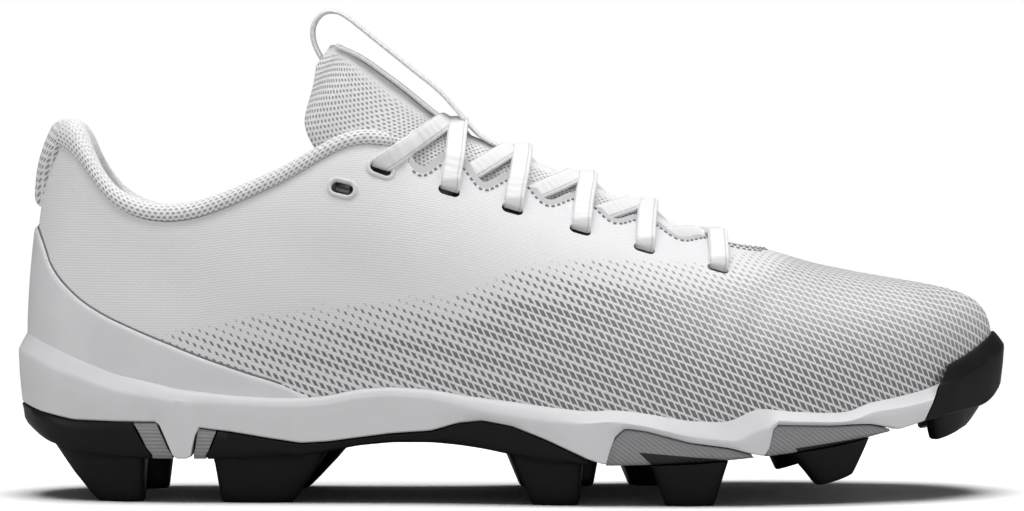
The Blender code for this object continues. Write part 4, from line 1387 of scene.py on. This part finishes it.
LACE_TURN = 0.7
LACE_TURN_LIFT = 0.0009
DIAGONAL_SHARES = (0.0, 0.15, 0.3, 0.45, 0.6, 0.75, 0.9)
DIAGONAL_AHEAD = 3.0
DIAGONAL_SHORT = 2.0
DIAGONAL_UNDER = 0.0042
FAR_SHARES = (0.1, 0.3, 0.5, 0.7, 0.9)
FAR_RUN = 0.8
FAR_REACH = 0.95
FAR_FORM = 0.7


def throat_edge(x):
    t = station(x, "rim_along")
    return upper_point(LATERAL, t, edge_share(LATERAL, t))


def diagonal_path(rear, front):
    """Straight in side view from the throat's edge or the top slot to the crown, then down the far side."""
    x_top = (front.along - DIAGONAL_SHORT) * MM
    top, top_normal = lace_crown(x_top, 0.0, LACE_LIFT)
    path = []
    normals = []
    from_eyelet = rear.name == "slot_1"
    if from_eyelet:
        path, normals = from_slot(LATERAL, rear)
        start, turn = path[-1], normals[-1]
    else:
        start = throat_edge((rear.along + DIAGONAL_AHEAD) * MM) - UP * DIAGONAL_UNDER
    for f in DIAGONAL_SHARES[1:] if from_eyelet else DIAGONAL_SHARES:
        x = start.x + f * (x_top - start.x)
        z = start.z + f * (top.z - start.z)
        place, normal = crown_spot(LATERAL, x, z)
        normal = (normal + Vector((0.0, -LACE_TURN, 0.0))).normalized()
        if from_eyelet:
            place.y = min(place.y, start.y + f * (top.y - start.y))
            if z < throat_edge(x).z:
                place.y = min(place.y, upper_spot(LATERAL, x, z).y)
            normal = turn.lerp(normal, f).normalized()
        path.append(place + Vector((0.0, -LACE_TURN_LIFT, 0.0)))
        normals.append(normal)
    path.append(top)
    normals.append(top_normal)
    for f in FAR_SHARES:
        x = x_top + f * (x_top - start.x) * FAR_RUN
        place, normal = lace_crown(x, throat_share(x) * FAR_REACH * f ** FAR_FORM, LACE_LIFT)
        path.append(place)
        normals.append(normal)
    return path, normals


def make_laces():
    """Each crossing: a bar over the diagonal that dives under the eyestay toward the slot behind."""
    made = {}
    for rear, front in zip(SLOTS[1:], SLOTS[2:]):
        number = front.name[-1]
        path, normals = bar_path(front)
        bar = strap("lace_bar", path, normals, LACE_WIDTH, LACE_THICKNESS, 96)
        path, normals = diagonal_path(rear, front)
        under = strap("lace_diagonal", path, normals, LACE_WIDTH, LACE_THICKNESS, 72)
        made["lace_cross_" + number] = join("lace_" + number, [bar, under])
    return made


def shader_step(operation):
    """A method that takes a wire and another value through one operation."""
    return lambda wire, other: wire.math(operation, other)


class Wire:
    """A shader socket that takes part in Python arithmetic."""

    def __init__(self, finish, socket):
        self.finish = finish
        self.socket = socket

    def math(self, operation, *others):
        return self.finish.add("ShaderNodeMath", {"operation": operation}, (self,) + others)

    def __rsub__(self, other):
        return self.finish.add("ShaderNodeMath", {"operation": "SUBTRACT"}, (other, self))

    __add__ = __radd__ = shader_step("ADD")
    __mul__ = __rmul__ = shader_step("MULTIPLY")
    __sub__ = shader_step("SUBTRACT")
    __truediv__ = shader_step("DIVIDE")
    most = shader_step("MAXIMUM")

    def wave(self, pitch):
        """Sine of the value, once for each pitch."""
        return (self * (2 * math.pi / pitch)).math("SINE")

    def cell(self):
        """Distance from the middle of each unit cell."""
        return (self.math("FRACT") - 0.5).math("ABSOLUTE")

    def step(self, start, end, low=0.0, high=1.0):
        """Soft step from low to high while the value goes from start to end."""
        settings = {"interpolation_type": "SMOOTHSTEP"}
        return self.finish.add("ShaderNodeMapRange", settings, (self, start, end, low, high))


class Nodes:
    """The nodes of a material or of the air round the shoe, and the one way to add to them."""

    def __init__(self, tree):
        self.tree = tree

    def add(self, kind, settings, values, output=0):
        node = self.tree.nodes.new(kind)
        for name, value in settings.items():
            setattr(node, name, value)
        pairs = values.items() if isinstance(values, dict) else enumerate(values)
        for socket, value in pairs:
            self.feed(node.inputs[socket], value)
        return Wire(self, node.outputs[output])

    def feed(self, socket, value):
        if isinstance(value, Wire):
            self.tree.links.new(value.socket, socket)
        else:
            socket.default_value = value

    def blend(self, share, first, second):
        return self.add("ShaderNodeMix", {"data_type": "RGBA"}, {0: share, 6: first, 7: second}, 2)


class Finish(Nodes):
    """One material: a Principled shader, its constant values and the nodes that vary it."""

    def __init__(self, name, **constants):
        self.material = bpy.data.materials.new(name)
        self.material.use_nodes = True
        super().__init__(self.material.node_tree)
        self.shader = self.tree.nodes["Principled BSDF"]
        for socket, value in constants.items():
            self.shader.inputs[socket.replace("_", " ")].default_value = value

    def cloth(self):
        """Millimetres along and across the piece's own surface."""
        chart = self.add("ShaderNodeUVMap", {"uv_map": "cloth"}, ())
        return [self.add("ShaderNodeSeparateXYZ", {}, (chart,), axis) for axis in (0, 1)]

    def place(self):
        """Millimetres in the shoe's own frame."""
        spot = self.add("ShaderNodeTexCoord", {}, (), "Object")
        return [self.add("ShaderNodeSeparateXYZ", {}, (spot,), axis) * (1 / MM) for axis in (0, 1, 2)]

    def painted(self, name):
        return self.add("ShaderNodeAttribute", {"attribute_name": name}, (), "Fac")

    def noise(self, size, detail=3.0):
        """Cloudy values round a half; size is the width of a cloud in metres."""
        spot = self.add("ShaderNodeTexCoord", {}, (), "Object")
        values = {"Vector": spot, "Scale": 1 / size, "Detail": detail}
        return self.add("ShaderNodeTexNoise", {}, values, "Fac")

    def colour(self, value):
        self.feed(self.shader.inputs["Base Color"], value)

    def rough(self, value):
        self.feed(self.shader.inputs["Roughness"], value)

    def bump(self, height):
        """Height in millimetres raised on the surface."""
        normal = self.add("ShaderNodeBump", {}, {"Strength": 1.0, "Distance": MM, "Height": height})
        self.feed(self.shader.inputs["Normal"], normal)


FINE = 2.0


def grey(level, blue=1.0):
    return (level, level, level * blue, 1.0)


RIB_PITCH = 0.77
RIB_ARCH = 0.0022
RIB_CROWN = -60.0
RIB_FLAT = -35.0
RIB_DASH = 1.9
CLOTH_SHADES = (0.77, 0.88)
# Dark ink, and the lighter shade of its painted sheen on top of the toe
INK_DARK_AND_SHEEN = (0.09, 0.38)
INK_COVER = 0.94
INK_GLOSS = 0.15
THREAD = 0.0009
CLOTH_ROUGH = 0.62
CLOTH_BLUE = 1.015
INK_BLUE = 1.03
# Cells of the halftone: turns of each of its two directions for a millimetre along and up the cloth
DOT_GRID = ((0.5630, 0.2806), (-0.1563, -0.4124))
DOT_EDGE = 0.05


def textile_finish():
    """Fine horizontal ribs under a printed halftone that opens from dots at the heel to a net at the toe; its
    ink carries a painted sheen, lighter on top of the toe.
    """
    finish = Finish("white_textile", Roughness=CLOTH_ROUGH, Sheen_Weight=0.15)
    u, v = finish.cloth()
    size = finish.painted("dot_size")
    shown = finish.painted("dots")
    # share of the painted sheen that lightens the ink on top of the toe
    light = finish.painted("ink")
    bent = (u - RIB_CROWN).most(RIB_FLAT)
    row = v + bent * bent * RIB_ARCH
    first, second = [(u * along + v * up).cell() for along, up in DOT_GRID]
    off = first.most(second)
    dot = (size - off).step(-DOT_EDGE, DOT_EDGE) * shown
    thread = finish.noise(THREAD, FINE)
    rib = row.wave(RIB_PITCH) * ((u + row * 1.3).wave(RIB_DASH) * 0.45 + 0.55)
    base = finish.blend(rib * 0.5 + 0.5, *[grey(shade, CLOTH_BLUE) for shade in CLOTH_SHADES])
    ink = finish.blend(light, *[grey(shade, INK_BLUE) for shade in INK_DARK_AND_SHEEN])
    finish.colour(finish.blend(dot * INK_COVER, base, ink))
    finish.rough(CLOTH_ROUGH - dot * INK_GLOSS)
    finish.bump((rib * 0.03 + thread * 0.05) * (1.0 - dot) - dot * 0.05)
    return finish.material


KNIT_PITCH = 1.75
KNIT_ROW = 1.2
HOLE_HALF_LENGTH = 0.58
HOLE_HALF_HEIGHT = 0.42
HOLE_OUTSIDE = 1.10
HOLE_INSIDE = 0.45
HOLE_DEPTH = 0.40
YARN_PITCH = 0.55


def knit_finish(name, yarn, hole_shadow):
    """Spacer mesh: staggered oval holes between thick yarns, each hole painted grey as the shade inside it.
    """
    finish = Finish(name, Roughness=0.78, Sheen_Weight=0.2)
    u, v = finish.cloth()
    open_share = finish.painted("holes")
    row = v / KNIT_ROW
    odd = row.math("FLOOR") * 0.5
    a = (u / KNIT_PITCH + odd).cell() * (KNIT_PITCH / HOLE_HALF_LENGTH)
    b = row.cell() * (KNIT_ROW / HOLE_HALF_HEIGHT)
    far = (a * a + b * b).math("SQRT")
    hole = far.step(HOLE_OUTSIDE, HOLE_INSIDE) * open_share
    yarn_rib = (u + v * 0.4).wave(YARN_PITCH)
    # holes painted grey: painted shadow inside each hole
    finish.colour(finish.blend(hole, grey(yarn), grey(hole_shadow)))
    finish.bump(hole * -HOLE_DEPTH + yarn_rib * 0.04 + finish.noise(0.0008, FINE) * 0.08)
    return finish.material


CLOUD = 0.012
SHADE_LOSS = 0.97
SHADE_EDGES = (0.35, 0.65)
GLOSS_EDGES = (0.3, 0.7)
GLOSS_WANDER = 0.05
GRAIN = 0.0006
PLAIN_BLUE = 1.02


def plain_finish(name, level, rough, grain, shine):
    """Plain moulding or cloth: a shade and a gloss that wander a little, and a fine grain."""
    finish = Finish(name, Specular_IOR_Level=shine)
    cloud = finish.noise(CLOUD)
    shades = [grey(level * SHADE_LOSS, PLAIN_BLUE), grey(level, PLAIN_BLUE)]
    finish.colour(finish.blend(cloud.step(*SHADE_EDGES), *shades))
    finish.rough(cloud.step(*GLOSS_EDGES, rough - GLOSS_WANDER, rough + GLOSS_WANDER))
    finish.bump(finish.noise(GRAIN, FINE) * grain)
    return finish.material


# Black round the root of a forefoot stud: start of its upper line, its slope and how far its rear end slants
RootPlate = namedtuple("RootPlate", "along height slope lead")
BALL_PLATE = RootPlate(36.5, 16.3, -0.0865, 1.0)
FRONT_PLATE = RootPlate(82.9, 17.2, 0.136, 0.5)
PLATE_EDGE = 33.0
PLATE_BLACK = 0.012
PLATE_SOFT = (-0.1, 0.2)
POD_SHADES = (0.27, 0.34)
POD_RIB = 1.1


def pod_finish(name, along, up, plate=None):
    """Grey moulding with fine parallel ribs across the given direction, black round a stud's root."""
    finish = Finish(name, Roughness=0.5)
    x, y, z = finish.place()
    rib = (x * along + z * up).wave(POD_RIB)
    colour = finish.blend(rib * 0.5 + 0.5, *[grey(shade, INK_BLUE) for shade in POD_SHADES])
    if plate:
        below = (x - plate.along) * plate.slope + plate.height - z
        ahead = x - plate.along - (plate.height - z) * plate.lead
        near_edge = y.math("ABSOLUTE").step(PLATE_EDGE, PLATE_EDGE + 1.0)
        root = below.step(*PLATE_SOFT) * ahead.step(*PLATE_SOFT) * near_edge
        colour = finish.blend(root, colour, grey(PLATE_BLACK))
    finish.colour(colour)
    finish.bump(rib * 0.05 + finish.noise(0.0007, FINE) * 0.03)
    return finish.material


TAPE_RIB = 0.8
TAPE_GATHER = 2.6
TAPE_LINE = (0.32, 0.1)
TAPE_LINE_SHADE = 0.55


def lace_finish(name, level, width, edge):
    """Woven tape: faint ribs across it, soft gathers and a thin line along each edge."""
    finish = Finish(name, Roughness=0.72, Sheen_Weight=0.2)
    u, v = finish.cloth()
    rib = u.wave(TAPE_RIB)
    gather = (u + finish.noise(0.004) * 3.0).wave(TAPE_GATHER)
    line = ((v - 0.5 * width).math("ABSOLUTE") - (0.5 * width - edge)).math("ABSOLUTE").step(*TAPE_LINE)
    finish.colour(finish.blend(line * 0.55 + rib * 0.02, grey(level, 1.01), grey(level * TAPE_LINE_SHADE)))
    finish.bump(rib * 0.012 + gather * 0.05 - line * 0.06)
    return finish.material


def paint(piece, name, measure):
    """Store a value worked out for each point, for the finish to read."""
    layer = piece.data.attributes.new(name, "FLOAT", "POINT")
    layer.data.foreach_set("value", [measure(vertex) for vertex in piece.data.vertices])


# Printed halftone: its top line on the side of the upper
DOTS_TOP = [SideRow(*row) for row in (
    (-112.0, 47.0), (-95.0, 52.0), (-63.0, 57.0), (-37.0, 60.0), (-18.0, 61.0), (2.0, 70.0),
    (26.0, 72.0), (56.0, 71.0), (75.0, 75.0), (100.0, 90.0),
)]
DOTS_BACK = -112.0
DOT_SMALL = 0.155
DOT_GROW = 0.132
DOT_FORWARD = 0.0009
DOT_LARGEST = 0.362
DOT_FULL_DEPTH = 14.0
DOT_FROM = -50.0
STREAK = 0.045
STREAK_PITCH = 8.5
STREAK_SLOPE = 0.165
STREAK_START = 33.4
STREAK_END = 70.0
STREAK_OVER = 60.0
PRINT_SOFT = 1.2
PRINT_SOFT_BACK = 3.0
# Painted sheen on the ink: its least share, and the height and length over which it grows toward the top of
# the toe
SHEEN_LEAST = 0.18
SHEEN_HEIGHT = 36.0
SHEEN_HEIGHT_OVER = 24.0
SHEEN_ALONG = 10.0
SHEEN_ALONG_OVER = 70.0
# Line through the middle of the shoe that tells its outer faces from its inner ones
HEART = 0.030
HEART_REACH = 0.115
# Open share of the mesh: the lining, the roll's crest and the panel beside the ribbon are closed or nearly so
LINING_HOLES = 0.12
CREST_CLOSED = 0.6
CREST_FROM = 2.0
CREST_OVER = 4.0
PANEL_HALF = 5.5
PANEL_SOFT = 3.0


def dots_depth(place):
    """Millimetres below the print's top line."""
    return graph(DOTS_TOP, "height", place.x * MM) / MM - place.z


def dot_size(vertex):
    """Half width of a dot as a share of its cell; streaks of larger dots run along the heel half."""
    place = vertex.co / MM
    grown = DOT_GROW + DOT_FORWARD * (place.x - DOT_FROM)
    size = DOT_SMALL + grown * ease(dots_depth(place) / DOT_FULL_DEPTH)
    wave = math.cos(2 * math.pi * (place.z + STREAK_SLOPE * place.x - STREAK_START) / STREAK_PITCH)
    return min(size + STREAK * wave * ease((STREAK_END - place.x) / STREAK_OVER), DOT_LARGEST)


def faces_out(vertex, level):
    """Whether a point faces away from the line through the middle of the shoe at a level."""
    along = max(-HEART_REACH, min(HEART_REACH, vertex.co.x))
    heart = Vector((along, centre(along), level))
    return vertex.normal.dot(vertex.co - heart) > 0.0


def dots_share(vertex):
    """Dots on the outer face of the wall only."""
    if not faces_out(vertex, HEART):
        return 0.0
    place = vertex.co / MM
    return ease(dots_depth(place) / PRINT_SOFT + 0.5) * ease((place.x - DOTS_BACK) / PRINT_SOFT_BACK)


def ink_sheen_share(vertex):
    """Share of painted sheen on the ink: lighter on top of the toe, where the light falls from above."""
    place = vertex.co / MM
    high = ease((place.z - SHEEN_HEIGHT) / SHEEN_HEIGHT_OVER)
    return SHEEN_LEAST + (1.0 - SHEEN_LEAST) * high * ease((place.x - SHEEN_ALONG) / SHEEN_ALONG_OVER)


def collar_holes(vertex):
    """Mesh open on the roll's face, almost closed on its crest and plain as a lining."""
    if not faces_out(vertex, vertex.co.z):
        return LINING_HOLES
    place = vertex.co / MM
    rim = at("rim", station(place.x * MM, "rim_along")) / MM
    return 1.0 - CREST_CLOSED * ease((place.z - rim - CREST_FROM) / CREST_OVER)


def tongue_holes(vertex):
    """Open mesh on the tongue's sides, closed panel beside the ribbon."""
    place = vertex.co / MM
    return ease((abs(place.y - centre(place.x * MM) / MM) - PANEL_HALF) / PANEL_SOFT)


# Plain finishes: shade, roughness, grain and shine
Plain = namedtuple("Plain", "name level rough grain shine", defaults=(0.5,))
PLAIN = [
    Plain("satin_white", 0.78, 0.42, 0.02),
    Plain("black_rubber", 0.006, 0.46, 0.015, 0.22),
    Plain("backing_cloth", 0.56, 0.7, 0.06),
    Plain("stitch_thread", 0.26, 0.6, 0.02),
    Plain("seam_shadow", 0.22, 0.7, 0.0),
    # Painted shade inside the slots: near black where laced, grey in the spare slot
    Plain("slot_shade", 0.07, 0.8, 0.0),
    Plain("spare_shade", 0.34, 0.8, 0.0),
    Plain("white_rim", 0.74, 0.5, 0.02),
    Plain("insole_cloth", 0.62, 0.8, 0.08),
]
# Shade of the mesh's yarn, and the painted shadow inside its holes; shade, width over the face and inset of
# the edge lines of the tapes
YARN = 0.95
HOLE_SHADOW = 0.44
LACE_TAPE = (0.92, 6.2, 0.8)
RIBBON_TAPE = (0.88, 13.5, 1.4)
# Ribs of the grey pods: level ones at the heel, slanted ones in the forefoot
LEVEL_RIBS = (0.0, 1.0)
SLANTED_RIBS = (0.6, 0.8)


def build():
    plain = {row.name: plain_finish(*row) for row in PLAIN}
    satin = plain["satin_white"]
    black = plain["black_rubber"]
    knit = knit_finish("knit_mesh", YARN, HOLE_SHADOW)
    lace = lace_finish("white_lace", *LACE_TAPE)
    pods = {
        "pod_heel_rear": pod_finish("grey_heel", *LEVEL_RIBS),
        "pod_heel_front": pod_finish("grey_heel_front", *LEVEL_RIBS),
        "pod_ball": pod_finish("grey_ball", *SLANTED_RIBS, BALL_PLATE),
        "pod_front": pod_finish("grey_front", *SLANTED_RIBS, FRONT_PLATE),
    }
    upper = dress(make_upper(), "white_textile", textile_finish(), "upper")
    paint(upper, "dot_size", dot_size)
    paint(upper, "dots", dots_share)
    # painted sheen: the ink lighter on top of the toe
    paint(upper, "ink", ink_sheen_share)
    dress(make_backing(), "white_textile", plain["backing_cloth"])
    dress(make_stitches(), "white_textile", plain["stitch_thread"])
    rims = at_slots("slot_rims", SLOTS[:2], rim_rings, caps=False, smooth=60)
    dress(rims, "white_rubber", plain["white_rim"])
    # painted shade inside the slots: dark grounds in the laced slots, a grey one in the spare slot
    dress(at_slots("slot_floors", SLOTS[1:], shadow_floor_rings), "white_textile", plain["slot_shade"])
    dress(at_slots("spare_floors", SLOTS[:1], shadow_floor_rings), "white_textile", plain["spare_shade"])
    collar = dress(make_collar(), "mesh", knit, "collar")
    paint(collar, "holes", collar_holes)
    dress(make_counter(), "white_rubber", satin, "heel_counter")
    # painted shadow along the counter's top edge
    dress(make_counter_shadow_line(), "white_rubber", plain["seam_shadow"])
    dress(make_cup(), "white_rubber", satin, "midsole")
    dress(make_bumper(), "black", black, "toe_bumper")
    for node, piece in make_rubber().items():
        dress(piece, "grey" if node in pods else "black", pods.get(node, black), node)
    for stud in STUDS:
        if not stud.joins:
            dress(make_stud(stud, -GAP), "black", black, stud.name)
    tongue = dress(make_tongue(), "mesh", knit, "tongue")
    paint(tongue, "holes", tongue_holes)
    dress(make_loop(), "white_textile", lace_finish("white_ribbon", *RIBBON_TAPE), "pull_loop")
    for node, piece in make_laces().items():
        dress(piece, "lace", lace, node)
    dress(make_insole(), "white_textile", plain["insole_cloth"], "insole")


FLOOR_SIZE = 30.0
FLOOR_NEAR = 0.24
FLOOR_FAR = 0.50
GLOW = 0.30
BOUNCE = 0.32
AIR = 0.12
FLOOR_WHITE = 0.9

# Soft lights: place, point aimed at, size, power, and whether the floor is all they light or left out
Lamp = namedtuple("Lamp", "name place aim size power floor_state")
LAMPS = [
    Lamp("overhead", (0.05, -0.05, 1.20), (0.0, 0.0, 0.0), (1.5, 1.1), 15.5, "EXCLUDE"),
    Lamp("front_fill", (-0.3, -1.9, 0.7), (0.0, 0.0, 0.06), (1.2, 0.8), 6.2, "EXCLUDE"),
    Lamp("heel_light", (-1.5, -0.5, 0.5), (0.0, 0.0, 0.06), (0.8, 0.8), 4.6, "EXCLUDE"),
    Lamp("toe_light", (1.5, -0.7, 0.4), (0.0, 0.0, 0.05), (0.8, 0.8), 5.6, "EXCLUDE"),
    Lamp("floor_light", (0.02, 0.0, 1.20), (0.0, 0.0, 0.0), (1.2, 0.9), 27.0, "INCLUDE"),
]


def set_floor():
    """White floor: plain and lit round the shoe, evenly bright farther away."""
    bpy.ops.object.select_all(action="DESELECT")
    bpy.ops.mesh.primitive_plane_add(size=FLOOR_SIZE)
    floor = bpy.context.object
    floor.name = "studio_floor"
    finish = Finish("studio_white", Roughness=0.9, Specular_IOR_Level=0.0)
    seen = finish.add("ShaderNodeLightPath", {}, (), "Is Camera Ray")
    finish.colour(finish.blend(seen, grey(BOUNCE), grey(FLOOR_WHITE)))
    spot = finish.add("ShaderNodeTexCoord", {}, (), "Object")
    far = finish.add("ShaderNodeVectorMath", {"operation": "LENGTH"}, (spot,), "Value")
    glow = finish.add("ShaderNodeEmission", {}, {"Color": finish.blend(seen, grey(GLOW), grey(1.0))})
    plain = Wire(finish, finish.shader.outputs[0])
    mixed = finish.add("ShaderNodeMixShader", {}, (far.step(FLOOR_NEAR, FLOOR_FAR), plain, glow))
    finish.feed(finish.tree.nodes["Material Output"].inputs["Surface"], mixed)
    floor.data.materials.append(finish.material)


def set_light(row):
    """Soft light aimed at a point, for the floor only or for all but the floor."""
    data = bpy.data.lights.new(row.name, "AREA")
    data.shape = "RECTANGLE"
    data.size, data.size_y = row.size
    data.energy = row.power
    lamp = bpy.data.objects.new(row.name, data)
    bpy.context.collection.objects.link(lamp)
    lamp.location = row.place
    lamp.rotation_euler = (Vector(row.aim) - Vector(row.place)).to_track_quat("-Z", "Y").to_euler()
    lit = bpy.data.collections.new(row.name + "_lit")
    lit.objects.link(bpy.data.objects["studio_floor"])
    lit.collection_objects[0].light_linking.link_state = row.floor_state
    lamp.light_linking.receiver_collection = lit


def set_air():
    """White background to the camera, dim light from all round to the shoe."""
    world = bpy.data.worlds.new("studio_air")
    world.use_nodes = True
    nodes = Nodes(world.node_tree)
    seen = nodes.add("ShaderNodeLightPath", {}, (), "Is Camera Ray")
    nodes.feed(nodes.tree.nodes["Background"].inputs["Color"], nodes.blend(seen, grey(AIR), grey(1.0)))
    bpy.context.scene.world = world


def set_stage():
    set_floor()
    for row in LAMPS:
        set_light(row)
    set_air()
    bpy.context.scene.view_settings.view_transform = "Standard"


CAMERA_LENS = 174.02
CAMERA_PLACE = (-0.0006, -1.5, 0.128)
CAMERA_DOWN = math.atan(183.5 / 4950.0)
SENSOR_WIDTH = 36.0


def set_camera():
    data = bpy.data.cameras.new("photo_camera")
    data.sensor_width = SENSOR_WIDTH
    data.lens = CAMERA_LENS
    camera = bpy.data.objects.new("photo_camera", data)
    bpy.context.collection.objects.link(camera)
    camera.location = CAMERA_PLACE
    camera.rotation_euler = (math.pi / 2 - CAMERA_DOWN, 0.0, 0.0)
    bpy.context.scene.camera = camera


build()
set_stage()
set_camera()
